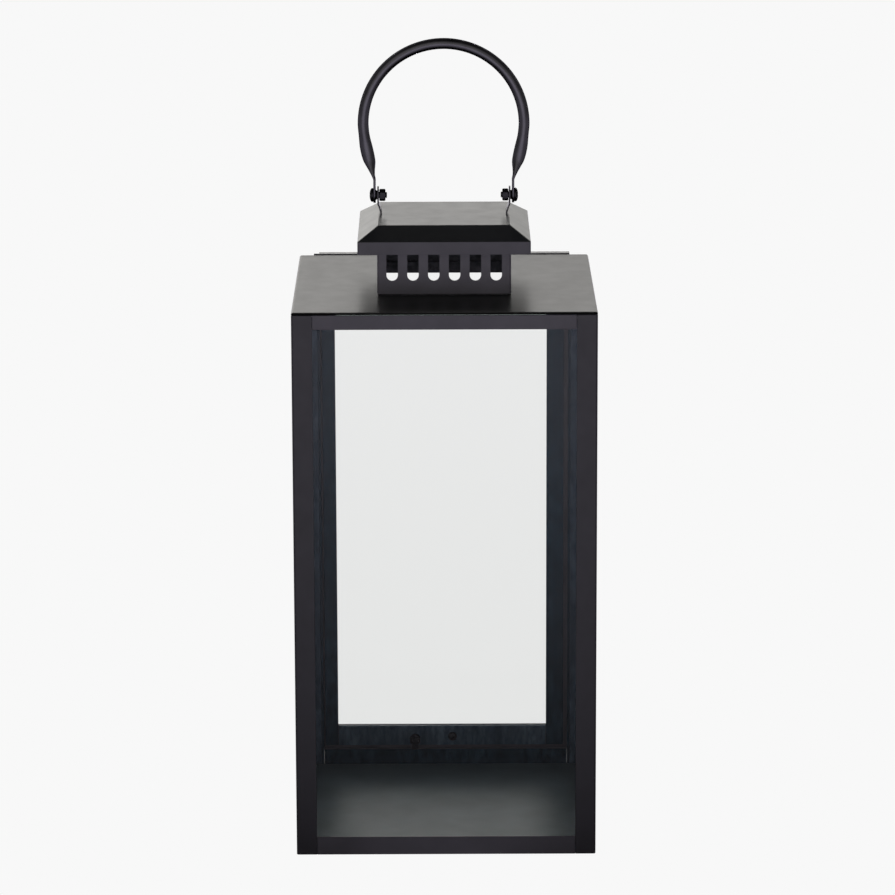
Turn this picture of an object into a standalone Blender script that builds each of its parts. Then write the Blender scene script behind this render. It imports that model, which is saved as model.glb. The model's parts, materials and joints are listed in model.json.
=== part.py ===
"""Square candle lantern: sheet-steel frame, glass panes, vented chimney cap, bail handle and rear door.

Units are metres and +Z is up.  The origin is the centre of the footprint on the surface it stands on.
The front is at -Y, the door is at the rear (+Y), and its hinges are on the -X side.
"""
from math import asin, cos, degrees, pi, radians, sin, sqrt

import bmesh
import bpy
from mathutils import Vector

MM = 0.001

# Whole body
WIDTH = 196.0 * MM              # outside width and depth of the square body
BODY_TOP = 362.8 * MM           # top of the roof plate, which lies on the posts and rails
GAP = 0.3 * MM                  # clearance between pieces that touch
SHEET = 1.5 * MM                # steel of the posts, rails, roof, floor and door plate
BEND = SHEET                    # outside radius of the bent corners of the posts and of the roof's rim
POST_LEG = 13.4 * MM            # visible width of each corner angle
TOP_RAIL = 11.2 * MM            # height of the front and side top rails
BOTTOM_RAIL = 12.2 * MM         # height of all bottom rails
REAR_TOP_RAIL = 9.0 * MM        # the rear top rail is slimmer, to clear the door liner
EDGE = 0.35 * MM                # softened edge of cut sheet
FINE_EDGE = 0.2 * MM            # softened edge of glass and of thin sheet

# Glass and the angles that hold it
GLASS = 2.0 * MM
STRIP_LEG = 7.5 * MM
STRIP_SHEET = 1.0 * MM

# Chimney and cap
CHIMNEY = 87.0 * MM             # outside width of the square chimney
CHIMNEY_SHEET = 1.0 * MM
CHIMNEY_RADIUS = 1.6 * MM       # bend radius at its upright corners
CHIMNEY_LIFT = 1.2 * MM         # shadow gap between the roof plate and the chimney wall
COLLAR_HEIGHT = 6.0 * MM        # upturned edge of the roof hole, inside the chimney
SLOT_COUNT = 6
SLOT_WIDTH = 7.4 * MM
SLOT_PITCH = 13.5 * MM
SLOT_BOTTOM = 372.6 * MM
REAR_SLOT_BOTTOM = 374.2 * MM   # a little higher, so that no daylight shows under the cap from the front
SLOT_TOP = 399.5 * MM
CAP = 112.0 * MM                # outside width across the cap's skirt
CAP_FLAT = 85.6 * MM            # width of its flat top
CAP_SKIRT_LOW = 392.2 * MM
CAP_SKIRT_HIGH = 400.7 * MM
CAP_TOP = 409.2 * MM
CAP_SHEET = 1.0 * MM

# Bail handle
PIVOT_Z = 421.5 * MM
ARC_RADIUS = 52.6 * MM          # centre line of the round top of the bail
ARC_Z = 468.7 * MM
TUBE_RADIUS = 3.65 * MM
TAB_HALF_WIDTH = 5.2 * MM       # flattened tube end, seen along X
TAB_HALF_THICKNESS = 0.8 * MM
TAB_X = 45.4 * MM               # middle of the flattened tab
TAB_TOP_Z = 432.0 * MM          # below this the tube is fully flattened
ROUND_Z = 445.0 * MM            # above this the tube is full again
BULGE = 0.72 * MM               # the tube swells sideways just above the flattened end
BULGE_Z = (438.0 * MM, 449.0 * MM, 451.0 * MM, 463.0 * MM)     # where the swelling starts, peaks and ends
LUG_HALF_WIDTH = 5.8 * MM
LUG_SHEET = 1.0 * MM
LUG_OUTER_X = 43.6 * MM         # outer face of the lug at the pivot
LUG_FOOT_X = 41.7 * MM          # and where it stands on the cap
LUG_BEND_Z = (411.0 * MM, 416.6 * MM)     # between these heights the lug leans out
BORE = 2.3 * MM                 # clearance hole radius for a 4 mm screw
SHANK = 2.0 * MM
SHANK_TIP = 1.7 * MM            # the shank's end is chamfered down to this radius
TIP_CHAMFER = 0.3 * MM
SCREW_REACH = 1.0 * MM          # how far a shank stands out of its nut
NUT_FLATS = 3.5 * MM            # half the width across the flats
NUT_HEIGHT = 4.0 * MM
NUT_CHAMFER = 0.5 * MM
NUT_CHAMFER_REACH = 1.06        # radius where the chamfer meets the end face, in half widths across flats
PIVOT_HEAD = ((0.0, 4.5), (0.6, 4.5), (1.2, 4.0), (1.8, 2.9), (2.2, 1.2))      # height and radius, in mm

# Rear door: outer plate, inner liner and glass
DOOR_LEFT = -88.4 * MM
DOOR_RIGHT = 85.4 * MM
DOOR_LOW = 11.0 * MM            # the plate laps over the rear bottom rail
DOOR_HIGH = 363.4 * MM
FLANGE_LEFT = -85.0 * MM        # the flange stops short of the hinges, so that it swings clear of the roof
FLANGE_DEPTH = 6.3 * MM         # the plate's top edge is folded back this far
WINDOW_LEFT = -74.7 * MM
WINDOW_RIGHT = 70.0 * MM
WINDOW_LOW = 29.6 * MM
WINDOW_HIGH = 351.1 * MM
LINER_LEFT = -83.6 * MM
LINER_RIGHT = 81.8 * MM
LINER_LOW = 15.7 * MM
LINER_HIGH = 353.4 * MM
LINER_DEPTH = 3.5 * MM
LINER_LIP = 1.2 * MM            # sheet of the lip that covers the glass edge
GLASS_GRIP = 4.0 * MM           # how far the lip covers the glass
TOP_GRIP = 1.5 * MM
DOOR_GLASS = 1.7 * MM

# Door hinges
HINGE_X = -91.5 * MM
HINGE_HEIGHTS = {"lower": 62.0 * MM, "upper": 314.0 * MM}
BARREL_RADIUS = 2.2 * MM
BARREL_BORE = 1.3 * MM
PIN_RADIUS = 1.0 * MM
BARREL_LENGTH = 14.0 * MM
LEAF_SHEET = BARREL_RADIUS - BARREL_BORE
FRAME_LEAF_END_X = -97.4 * MM
DOOR_LEAF_END_X = -79.5 * MM

# Turn latch and pull knob on the door's bottom bar
LATCH_X = -21.1 * MM
LATCH_Z = 20.5 * MM
TONGUE_TIP_Z = 12.7 * MM
TONGUE_WIDTH = 4.6 * MM
TONGUE_SHEET = 1.0 * MM
TONGUE_HEAD = 3.4 * MM          # radius of the tongue's round end, around the spindle
WING_LENGTH = 14.0 * MM
WING_WIDTH = 5.0 * MM
WING_DEPTH = 6.0 * MM
WING_CHAMFER = 0.8 * MM
KNOB_X = 4.9 * MM
KNOB_Z = 22.0 * MM
KNOB_SHANK = 1.6 * MM
KNOB_BORE_DEPTH = 8.0 * MM
KNOB_PROFILE = ((0.0, 2.8), (3.5, 2.8), (5.5, 3.7), (7.5, 4.4), (10.0, 4.4), (12.0, 3.5), (13.0, 2.0))
KNOB_HEAD = ((0.0, 3.0), (0.6, 3.0), (1.4, 2.6), (2.0, 1.8), (2.4, 0.8))
PIN_HEAD = ((0.3, 1.9), (0.9, 1.7), (1.4, 0.9))

# Derived places
HALF = WIDTH / 2
FRAME_TOP = BODY_TOP - SHEET - GAP      # top of the posts and rails, under the roof plate
INSIDE = HALF - SHEET - GAP             # pieces that fit inside the posts and rails
DOOR_Y = HALF + GAP                     # inner face of the door plate
DOOR_OUTER_Y = DOOR_Y + SHEET
LINER_Y = DOOR_Y - GAP                  # outer face of the liner
LINER_INNER_Y = LINER_Y - LINER_DEPTH
HINGE_Y = DOOR_Y + BARREL_RADIUS

# Finishes: linear colour, roughness, metallic, transmission
FINISHES = {
    "powder_coat": ((0.030, 0.029, 0.032), 0.42, 0.0, 0.0),
    "roof_enamel": ((0.028, 0.028, 0.030), 0.22, 0.0, 0.0),
    "black_fastener": ((0.012, 0.012, 0.014), 0.35, 0.6, 0.0),
    "clear_glass": ((0.93, 0.95, 0.94), 0.02, 0.0, 1.0),
}


def clear_scene():
    """Remove every object that the file starts with."""
    for obj in list(bpy.data.objects):
        bpy.data.objects.remove(obj, do_unlink=True)


def paint(obj, finish):
    """Give one object its own material."""
    colour, roughness, metallic, transmission = FINISHES[finish]
    material = bpy.data.materials.new(f"{obj.name}_{finish}")
    material.use_nodes = True
    shader = material.node_tree.nodes["Principled BSDF"]
    shader.inputs["Base Color"].default_value = (*colour, 1.0)
    shader.inputs["Roughness"].default_value = roughness
    shader.inputs["Metallic"].default_value = metallic
    shader.inputs["Transmission Weight"].default_value = transmission
    obj.data.materials.append(material)


def loft(name, rings, finish=None, closed=False, origin=None, parent=None):
    """Join rings of points into one closed body.

    An open loft is capped at both ends.  A closed one joins its last ring to its first.
    The object's origin is put at origin, or at the middle of its points.
    """
    points = [Vector(point) for ring in rings for point in ring]
    if origin is None:
        low = Vector([min(point[axis] for point in points) for axis in range(3)])
        high = Vector([max(point[axis] for point in points) for axis in range(3)])
        origin = (low + high) / 2
    origin = Vector(origin)
    mesh_data = bmesh.new()
    vertices = [[mesh_data.verts.new(Vector(point) - origin) for point in ring] for ring in rings]
    pairs = list(zip(vertices, vertices[1:]))
    if closed:
        pairs.append((vertices[-1], vertices[0]))
    else:
        mesh_data.faces.new(vertices[0])
        mesh_data.faces.new(vertices[-1])
    for ring, following in pairs:
        for index, vertex in enumerate(ring):
            after = (index + 1) % len(ring)
            mesh_data.faces.new((vertex, ring[after], following[after], following[index]))
    bmesh.ops.recalc_face_normals(mesh_data, faces=mesh_data.faces)
    mesh = bpy.data.meshes.new(name)
    mesh_data.to_mesh(mesh)
    mesh_data.free()
    obj = bpy.data.objects.new(name, mesh)
    bpy.context.scene.collection.objects.link(obj)
    obj.location = origin
    if parent is not None:
        obj.parent = parent
        obj.location = origin - world_place(parent)
    if finish is not None:
        paint(obj, finish)
    return obj


def world_place(empty):
    """Where an unrotated empty stands, through its parents."""
    place = Vector(empty.location)
    while empty.parent is not None:
        empty = empty.parent
        place = place + empty.location
    return place


def axis_empty(name, place, parent=None):
    """An empty on a joint's axis, which carries the pieces that turn about it."""
    empty = bpy.data.objects.new(name, None)
    bpy.context.scene.collection.objects.link(empty)
    empty.location = Vector(place)
    if parent is not None:
        empty.parent = parent
        empty.location = Vector(place) - world_place(parent)
    return empty


def to_space(axis, across, up, along):
    """A point from its place in an outline and its place along the axis X, Y or Z."""
    if axis == "X":
        return (along, across, up)
    if axis == "Y":
        return (across, along, up)
    return (across, up, along)


def extrude(name, outline, axis, start, end, finish=None, **options):
    """A straight piece with one outline, which runs from start to end along an axis."""
    rings = [[to_space(axis, across, up, along) for across, up in outline] for along in (start, end)]
    return loft(name, rings, finish, **options)


def box(name, low, high, finish=None, **options):
    """A box between two corners."""
    outline = [(low[0], low[1]), (high[0], low[1]), (high[0], high[1]), (low[0], high[1])]
    return extrude(name, outline, "Z", low[2], high[2], finish, **options)


def turn(name, profile, axis, centre, steps, finish=None, closed=False, **options):
    """A turned piece.  Its profile holds (place along the axis, radius, sides).

    Sides is 0 for a round ring and 6 for a hexagon, whose radius is half its width across flats.
    """
    rings = []
    for along, radius, sides in profile:
        ring = []
        for step in range(steps):
            angle = 2 * pi * step / steps
            reach = radius
            if sides:
                sector = 2 * pi / sides
                reach = radius / cos((angle + sector / 2) % sector - sector / 2)
            across, up = centre[0] + reach * cos(angle), centre[1] + reach * sin(angle)
            ring.append(to_space(axis, across, up, along))
        rings.append(ring)
    obj = loft(name, rings, finish, closed=closed, **options)
    smooth(obj)
    return obj


def smooth(obj, angle=35.0):
    """Shade round surfaces smooth and keep real edges sharp."""
    obj.data.shade_smooth()
    obj.data.set_sharp_from_angle(angle=radians(angle))


def soften(obj, width=EDGE, segments=2):
    """Break the sharp edges of a piece."""
    bevel = obj.modifiers.new("softened_edges", "BEVEL")
    bevel.width = width
    bevel.segments = segments
    bevel.limit_method = "ANGLE"
    bevel.angle_limit = radians(30)
    smooth(obj)
    return obj


def cut(obj, cutter):
    """Cut a hidden cutter out of a piece."""
    cutter.hide_render = True
    cutter.display_type = "WIRE"
    boolean = obj.modifiers.new(cutter.name, "BOOLEAN")
    boolean.operation = "DIFFERENCE"
    boolean.solver = "EXACT"
    boolean.object = cutter


def join(obj, other):
    """Join a second shape, which is hidden, to a piece."""
    other.hide_render = True
    other.display_type = "WIRE"
    boolean = obj.modifiers.new(other.name, "BOOLEAN")
    boolean.operation = "UNION"
    boolean.solver = "EXACT"
    boolean.object = other


def smoothstep(low, high, value):
    """0 below low, 1 above high, and a smooth ramp between them."""
    ratio = min(max((value - low) / (high - low), 0.0), 1.0)
    return ratio * ratio * (3 - 2 * ratio)


def arc(centre_x, centre_y, radius, start, end, steps):
    """Points of an arc, from one angle to another in degrees."""
    points = []
    for step in range(steps + 1):
        angle = radians(start + (end - start) * step / steps)
        points.append((centre_x + radius * cos(angle), centre_y + radius * sin(angle)))
    return points


def build_posts():
    """Four full-height corner angles with a bent outer corner."""
    inner = HALF - SHEET
    leg = HALF - POST_LEG
    angle = [(leg, HALF), (leg, inner), (inner, inner), (inner, leg), (HALF, leg)]
    angle += arc(HALF - BEND, HALF - BEND, BEND, 0, 90, 4)
    for depth_name, depth in (("front", -1), ("rear", 1)):
        for side_name, side in (("left", -1), ("right", 1)):
            outline = [(side * across, depth * up) for across, up in angle]
            post = extrude(f"{depth_name}_{side_name}_post", outline, "Z", 0.0, FRAME_TOP, "powder_coat")
            soften(post)


def build_rails():
    """Flat rails that butt between the posts, at the top and bottom of every side."""
    reach = HALF - POST_LEG - GAP
    inner = HALF - SHEET
    sides = (("front", True, -1), ("rear", True, 1), ("left", False, -1), ("right", False, 1))
    for name, along_x, sign in sides:
        top_height = REAR_TOP_RAIL if name == "rear" else TOP_RAIL
        for level, low, high in (("bottom", 0.0, BOTTOM_RAIL), ("top", BODY_TOP - top_height, FRAME_TOP)):
            near, far = sorted((sign * inner, sign * HALF))
            if along_x:
                corners = ((-reach, near, low), (reach, far, high))
            else:
                corners = ((near, -reach, low), (far, reach, high))
            soften(box(f"{name}_{level}_rail", *corners, "powder_coat"))


def square_ring(half, z):
    """Four corners of a square ring around the Z axis."""
    return [(-half, -half, z), (half, -half, z), (half, half, z), (-half, half, z)]


def rounded_ring(half, radius, z, steps=4):
    """A square ring around the Z axis with rounded corners."""
    ring = []
    for quarter in range(4):
        corner = radians(45 + 90 * quarter)
        centre_x = sqrt(2) * (half - radius) * cos(corner)
        centre_y = sqrt(2) * (half - radius) * sin(corner)
        start = 90 * quarter
        ring += [(x, y, z) for x, y in arc(centre_x, centre_y, radius, start, start + 90, steps)]
    return ring


def build_floor_and_roof():
    """The floor plate inside the bottom rails, and the roof plate that lies on the frame.

    The roof plate has a rounded rim, and a collar turned up around its vent hole.
    """
    floor = box("floor_plate", (-INSIDE, -INSIDE, 0.0), (INSIDE, INSIDE, SHEET), "roof_enamel")
    soften(floor, FINE_EDGE)
    low = BODY_TOP - SHEET
    rim = BEND - 0.1 * MM
    rim_steps = 4
    collar_outer = CHIMNEY / 2 - CHIMNEY_SHEET - GAP
    collar_inner = collar_outer - CHIMNEY_SHEET
    collar_bend = CHIMNEY_RADIUS - CHIMNEY_SHEET
    collar_top = BODY_TOP + COLLAR_HEIGHT
    sections = [(HALF, BEND, low)]
    for step in range(rim_steps + 1):
        angle = radians(90 * step / rim_steps)
        drawn_in = rim * (1 - cos(angle))
        sections.append((HALF - drawn_in, BEND - drawn_in, BODY_TOP - rim * (1 - sin(angle))))
    sections += [
        (collar_outer, collar_bend, BODY_TOP),
        (collar_outer, collar_bend, collar_top),
        (collar_inner, collar_bend / 2, collar_top),
        (collar_inner, collar_bend / 2, low),
    ]
    rings = [rounded_ring(half, radius, z) for half, radius, z in sections]
    smooth(loft("roof_plate", rings, "roof_enamel", closed=True))


def slot_cutters(name, axis, bottom=SLOT_BOTTOM):
    """One row of round-ended slots, long enough to cut two opposite walls of the chimney."""
    radius = SLOT_WIDTH / 2
    reach = CHIMNEY / 2 + 5 * MM
    steps = 6
    cutters = []
    for slot in range(SLOT_COUNT):
        middle = (slot - (SLOT_COUNT - 1) / 2) * SLOT_PITCH
        outline = arc(middle, SLOT_TOP - radius, radius, 0, 180, steps)
        outline += arc(middle, bottom + radius, radius, 180, 360, steps)
        cutters.append(extrude(f"{name}_{slot + 1}", outline, axis, -reach, reach))
    return cutters


def build_chimney():
    """Square vent box that slides over the roof's collar, with a row of slots in each of its four walls.

    The front and rear walls are bent round the corners, and the side walls stand between them.
    """
    outer = CHIMNEY / 2
    inner = outer - CHIMNEY_SHEET
    bend = outer - CHIMNEY_RADIUS
    low = BODY_TOP + CHIMNEY_LIFT
    ridge = (CAP - CAP_FLAT) / 2
    slope = (CAP_TOP - CAP_SKIRT_HIGH) / ridge
    high = CAP_TOP - CAP_SHEET * sqrt(1 + slope * slope) - slope * (outer - CAP_FLAT / 2) - GAP
    channel = arc(bend, bend, CHIMNEY_RADIUS, 0, 90, 4) + arc(-bend, bend, CHIMNEY_RADIUS, 90, 180, 4)
    channel += arc(-bend, bend, CHIMNEY_RADIUS - CHIMNEY_SHEET, 180, 90, 4)
    channel += arc(bend, bend, CHIMNEY_RADIUS - CHIMNEY_SHEET, 90, 0, 4)
    reach = bend - GAP
    flat = [(inner, -reach), (outer, -reach), (outer, reach), (inner, reach)]
    for name, depth, bottom in (("front", -1, SLOT_BOTTOM), ("rear", 1, REAR_SLOT_BOTTOM)):
        outline = [(across, depth * up) for across, up in channel]
        wall = extrude(f"chimney_{name}", outline, "Z", low, high, "powder_coat")
        for cutter in slot_cutters(f"slot_{name}", "Y", bottom):
            cut(wall, cutter)
        smooth(wall)
    cutters = slot_cutters("slot_left_right", "X")
    for name, side in (("left", -1), ("right", 1)):
        outline = [(side * across, up) for across, up in flat]
        wall = extrude(f"chimney_{name}", outline, "Z", low, high, "powder_coat")
        for cutter in cutters:
            cut(wall, cutter)
        smooth(wall)


def build_cap():
    """Hipped cap: an upright skirt, four slopes and a flat top, all of one thin sheet."""
    ridge = (CAP - CAP_FLAT) / 2
    slope = (CAP_TOP - CAP_SKIRT_HIGH) / ridge
    drop = CAP_SHEET * sqrt(1 + slope * slope)
    inner_skirt = CAP / 2 - CAP_SHEET
    inner_skirt_high = CAP_SKIRT_HIGH - drop + slope * CAP_SHEET
    inner_flat = CAP_FLAT / 2 - (drop - CAP_SHEET) / slope
    sections = [
        (CAP_FLAT / 2, CAP_TOP),
        (CAP / 2, CAP_SKIRT_HIGH),
        (CAP / 2, CAP_SKIRT_LOW),
        (inner_skirt, CAP_SKIRT_LOW),
        (inner_skirt, inner_skirt_high),
        (inner_flat, CAP_TOP - CAP_SHEET),
    ]
    cap = loft("cap", [square_ring(half, z) for half, z in sections], "roof_enamel")
    soften(cap)


def build_lug(name, side):
    """One upright lug: a strip that leans out to the bail and ends in a round top."""
    levels = [(CAP_TOP + GAP, 0.0), (LUG_BEND_Z[0], 0.0), (LUG_BEND_Z[1], 0.0)]
    steps = 8
    for step in range(steps + 1):
        angle = radians(80 * step / steps)
        levels.append((PIVOT_Z + LUG_HALF_WIDTH * sin(angle), angle))
    rings = []
    for z, angle in levels:
        lean = min(max((z - LUG_BEND_Z[0]) / (LUG_BEND_Z[1] - LUG_BEND_Z[0]), 0.0), 1.0)
        outer = side * (LUG_FOOT_X + (LUG_OUTER_X - LUG_FOOT_X) * lean)
        inner = outer - side * LUG_SHEET
        half_width = LUG_HALF_WIDTH * cos(angle)
        rings.append([(inner, -half_width, z), (outer, -half_width, z), (outer, half_width, z),
                      (inner, half_width, z)])
    lug = loft(f"{name}_lug", rings, "powder_coat")
    cut(lug, drill(f"{name}_lug_hole", "X", (0.0, PIVOT_Z), side * LUG_OUTER_X))
    smooth(lug)


def build_lugs_and_screws():
    """Two upright lugs on the cap, each with a domed screw through the bail and a nut behind it."""
    pivot = (0.0, PIVOT_Z)
    head_start = TAB_X + TAB_HALF_THICKNESS + GAP
    nut_start = LUG_OUTER_X - LUG_SHEET - GAP
    nut_end = nut_start - NUT_HEIGHT
    for name, side in (("left", -1), ("right", 1)):
        build_lug(name, side)
        shank_end = nut_end - SCREW_REACH
        profile = [(shank_end, SHANK_TIP), (shank_end + TIP_CHAMFER, SHANK), (head_start, SHANK)]
        profile += [(head_start + along * MM, radius * MM) for along, radius in PIVOT_HEAD]
        screw = [(side * along, radius, 0) for along, radius in profile]
        turn(f"{name}_pivot_screw", screw, "X", pivot, 24, "black_fastener")
        build_nut(f"{name}_pivot_nut", "X", pivot, side * nut_start, side * nut_end)


def drill(name, axis, centre, middle, radius=BORE):
    """A round cutter, long enough to go through a sheet that lies at middle along the axis."""
    reach = 5 * MM
    return turn(name, [(middle - reach, radius, 0), (middle + reach, radius, 0)], axis, centre, 24)


def build_nut(name, axis, centre, start, end, **options):
    """A hexagon nut with chamfered corners and a clearance bore."""
    chamfer = NUT_CHAMFER if end > start else -NUT_CHAMFER
    corner = NUT_CHAMFER_REACH * NUT_FLATS
    profile = [
        (start, BORE, 0),
        (start, corner, 0),
        (start + chamfer, NUT_FLATS, 6),
        (end - chamfer, NUT_FLATS, 6),
        (end, corner, 0),
        (end, BORE, 0),
    ]
    return turn(name, profile, axis, centre, 24, "black_fastener", closed=True, **options)


def bail_ring(place, normal, half_thickness, half_width, squareness, steps=16):
    """One section of the bail: a circle where it is a tube, and a flat strip where it is pressed."""
    ring = []
    for step in range(steps):
        angle = 2 * pi * (step + 0.5) / steps
        power = 2 / squareness
        thick = half_thickness * abs(cos(angle)) ** power * (1 if cos(angle) > 0 else -1)
        wide = half_width * abs(sin(angle)) ** power * (1 if sin(angle) > 0 else -1)
        ring.append((place[0] + normal[0] * thick, wide, place[1] + normal[1] * thick))
    return ring


def bail_leg(z):
    """The leg's centre line in X, and its section, at one height below the round top."""
    rise = min(max((z - TAB_TOP_Z) / (ARC_Z - TAB_TOP_Z), 0.0), 1.0)
    centre_x = TAB_X + (ARC_RADIUS - TAB_X) * (1 - (1 - rise) ** 1.5)
    tube = smoothstep(TAB_TOP_Z, ROUND_Z, z)
    swell_start, swell_full, swell_fade, swell_end = BULGE_Z
    swell = BULGE * smoothstep(swell_start, swell_full, z) * (1 - smoothstep(swell_fade, swell_end, z))
    half_thickness = TAB_HALF_THICKNESS + (TUBE_RADIUS - TAB_HALF_THICKNESS) * tube + swell
    half_width = TAB_HALF_WIDTH + (TUBE_RADIUS - TAB_HALF_WIDTH) * tube - swell / 2
    squareness = 2 + 3 * (1 - tube)
    if z < PIVOT_Z:
        half_width = sqrt(max(TAB_HALF_WIDTH ** 2 - (PIVOT_Z - z) ** 2, (0.8 * MM) ** 2))
    return centre_x, half_thickness, half_width, squareness


def build_bail():
    """Round bar bail: a half-circle top, legs that curve in, and flattened ends with a pivot hole."""
    arc_steps = 30
    leg_steps = 14
    leg_heights = [ARC_Z - (ARC_Z - TAB_TOP_Z) * step / leg_steps for step in range(1, leg_steps + 1)]
    leg_heights += [TAB_TOP_Z - 1 * MM, PIVOT_Z + 4 * MM]
    leg_heights += [PIVOT_Z - TAB_HALF_WIDTH * sin(asin(0.988) * step / 5) for step in range(6)]
    left_leg = []
    right_leg = []
    for z in leg_heights:
        centre_x, half_thickness, half_width, squareness = bail_leg(z)
        section = (half_thickness, half_width, squareness)
        left_leg.append(bail_ring((-centre_x, z), (-1.0, 0.0), *section))
        right_leg.append(bail_ring((centre_x, z), (1.0, 0.0), *section))
    top = []
    for step in range(arc_steps + 1):
        angle = pi - pi * step / arc_steps
        outward = (cos(angle), sin(angle))
        place = (ARC_RADIUS * outward[0], ARC_Z + ARC_RADIUS * outward[1])
        top.append(bail_ring(place, outward, TUBE_RADIUS, TUBE_RADIUS, 2))
    rings = left_leg[::-1] + top + right_leg
    bail = loft("bail_handle", rings, "powder_coat", origin=(0.0, 0.0, PIVOT_Z))
    for name, side in (("left", -1), ("right", 1)):
        cut(bail, drill(f"{name}_tab_hole", "X", (0.0, PIVOT_Z), side * TAB_X))
    smooth(bail)


def build_glass():
    """Front, left and right panes, and the corner angles that hold them against the posts."""
    low = SHEET + GAP
    high = BODY_TOP - SHEET - GAP
    front_reach = INSIDE - GLASS - GAP
    panes = {
        "front_glass": ((-front_reach, -INSIDE, low), (front_reach, -INSIDE + GLASS, high)),
        "left_glass": ((-INSIDE, -INSIDE, low), (-INSIDE + GLASS, INSIDE, high)),
        "right_glass": ((INSIDE - GLASS, -INSIDE, low), (INSIDE, INSIDE, high)),
    }
    for name, corners in panes.items():
        soften(box(name, *corners, "clear_glass"), FINE_EDGE, 1)
    near = INSIDE - GLASS - GAP
    angle = [(0.0, 0.0), (STRIP_LEG, 0.0), (STRIP_LEG, STRIP_SHEET), (STRIP_SHEET, STRIP_SHEET),
             (STRIP_SHEET, STRIP_LEG), (0.0, STRIP_LEG)]
    for side_name, side in (("left", -1), ("right", 1)):
        for depth_name, depth, back in (("front", -1, near), ("rear", 1, INSIDE)):
            outline = [(side * (near - across), depth * (back - up)) for across, up in angle]
            strip = extrude(f"{depth_name}_{side_name}_glass_strip", outline, "Z", low, high, "powder_coat")
            soften(strip, FINE_EDGE, 1)


def window_ring(left, right, low, high, y):
    """Four corners of an upright rectangle."""
    return [(left, y, low), (right, y, low), (right, y, high), (left, y, high)]


def build_door(door_axis):
    """Outer plate with its folded top edge, four liner strips that hold the glass, and the pane."""
    outer = (DOOR_LEFT, DOOR_RIGHT, DOOR_LOW, DOOR_HIGH)
    window = (WINDOW_LEFT, WINDOW_RIGHT, WINDOW_LOW, WINDOW_HIGH)
    rings = [window_ring(*outer, DOOR_Y), window_ring(*outer, DOOR_OUTER_Y),
             window_ring(*window, DOOR_OUTER_Y), window_ring(*window, DOOR_Y)]
    plate = loft("door_plate", rings, "powder_coat", closed=True, parent=door_axis)
    flange = box("door_top_flange", (FLANGE_LEFT, DOOR_Y + SHEET / 2, DOOR_HIGH - SHEET),
                 (DOOR_RIGHT, DOOR_Y + FLANGE_DEPTH, DOOR_HIGH))
    join(plate, flange)
    cut(plate, drill("latch_hole_in_plate", "Y", (LATCH_X, LATCH_Z), DOOR_Y))
    cut(plate, drill("knob_hole_in_plate", "Y", (KNOB_X, KNOB_Z), DOOR_Y, KNOB_SHANK + GAP))
    smooth(plate)
    lip = LINER_INNER_Y + LINER_LIP
    sides = (("left", LINER_LEFT, WINDOW_LEFT, -1), ("right", LINER_RIGHT, WINDOW_RIGHT, 1))
    for name, far, near, sign in sides:
        grip = near + sign * GLASS_GRIP
        outline = [(far, LINER_INNER_Y), (near, LINER_INNER_Y), (near, lip), (grip, lip),
                   (grip, LINER_Y), (far, LINER_Y)]
        strip = extrude(f"door_liner_{name}", outline, "Z", LINER_LOW, LINER_HIGH, "powder_coat",
                        parent=door_axis)
        soften(strip, FINE_EDGE, 1)
    ends = (WINDOW_LEFT + GAP, WINDOW_RIGHT - GAP)
    levels = (("bottom", LINER_LOW, WINDOW_LOW, -GLASS_GRIP), ("top", LINER_HIGH, WINDOW_HIGH, TOP_GRIP))
    for name, far, near, grip in levels:
        outline = [(LINER_INNER_Y, far), (LINER_INNER_Y, near), (lip, near), (lip, near + grip),
                   (LINER_Y, near + grip), (LINER_Y, far)]
        strip = extrude(f"door_liner_{name}", outline, "X", *ends, "powder_coat", parent=door_axis)
        if name == "bottom":
            for hole, place in (("latch_hole", (LATCH_X, LATCH_Z)), ("knob_hole", (KNOB_X, KNOB_Z))):
                cut(strip, drill(f"{hole}_in_liner", "Y", place, (LINER_INNER_Y + LINER_Y) / 2))
            smooth(strip)
        else:
            soften(strip, FINE_EDGE, 1)
    margin = GLASS_GRIP - GAP
    pane_low = (WINDOW_LEFT - margin, lip + GAP, WINDOW_LOW - margin)
    pane_high = (WINDOW_RIGHT + margin, lip + GAP + DOOR_GLASS, WINDOW_HIGH + TOP_GRIP - GAP)
    soften(box("door_glass", pane_low, pane_high, "clear_glass", parent=door_axis), FINE_EDGE, 1)


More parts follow.
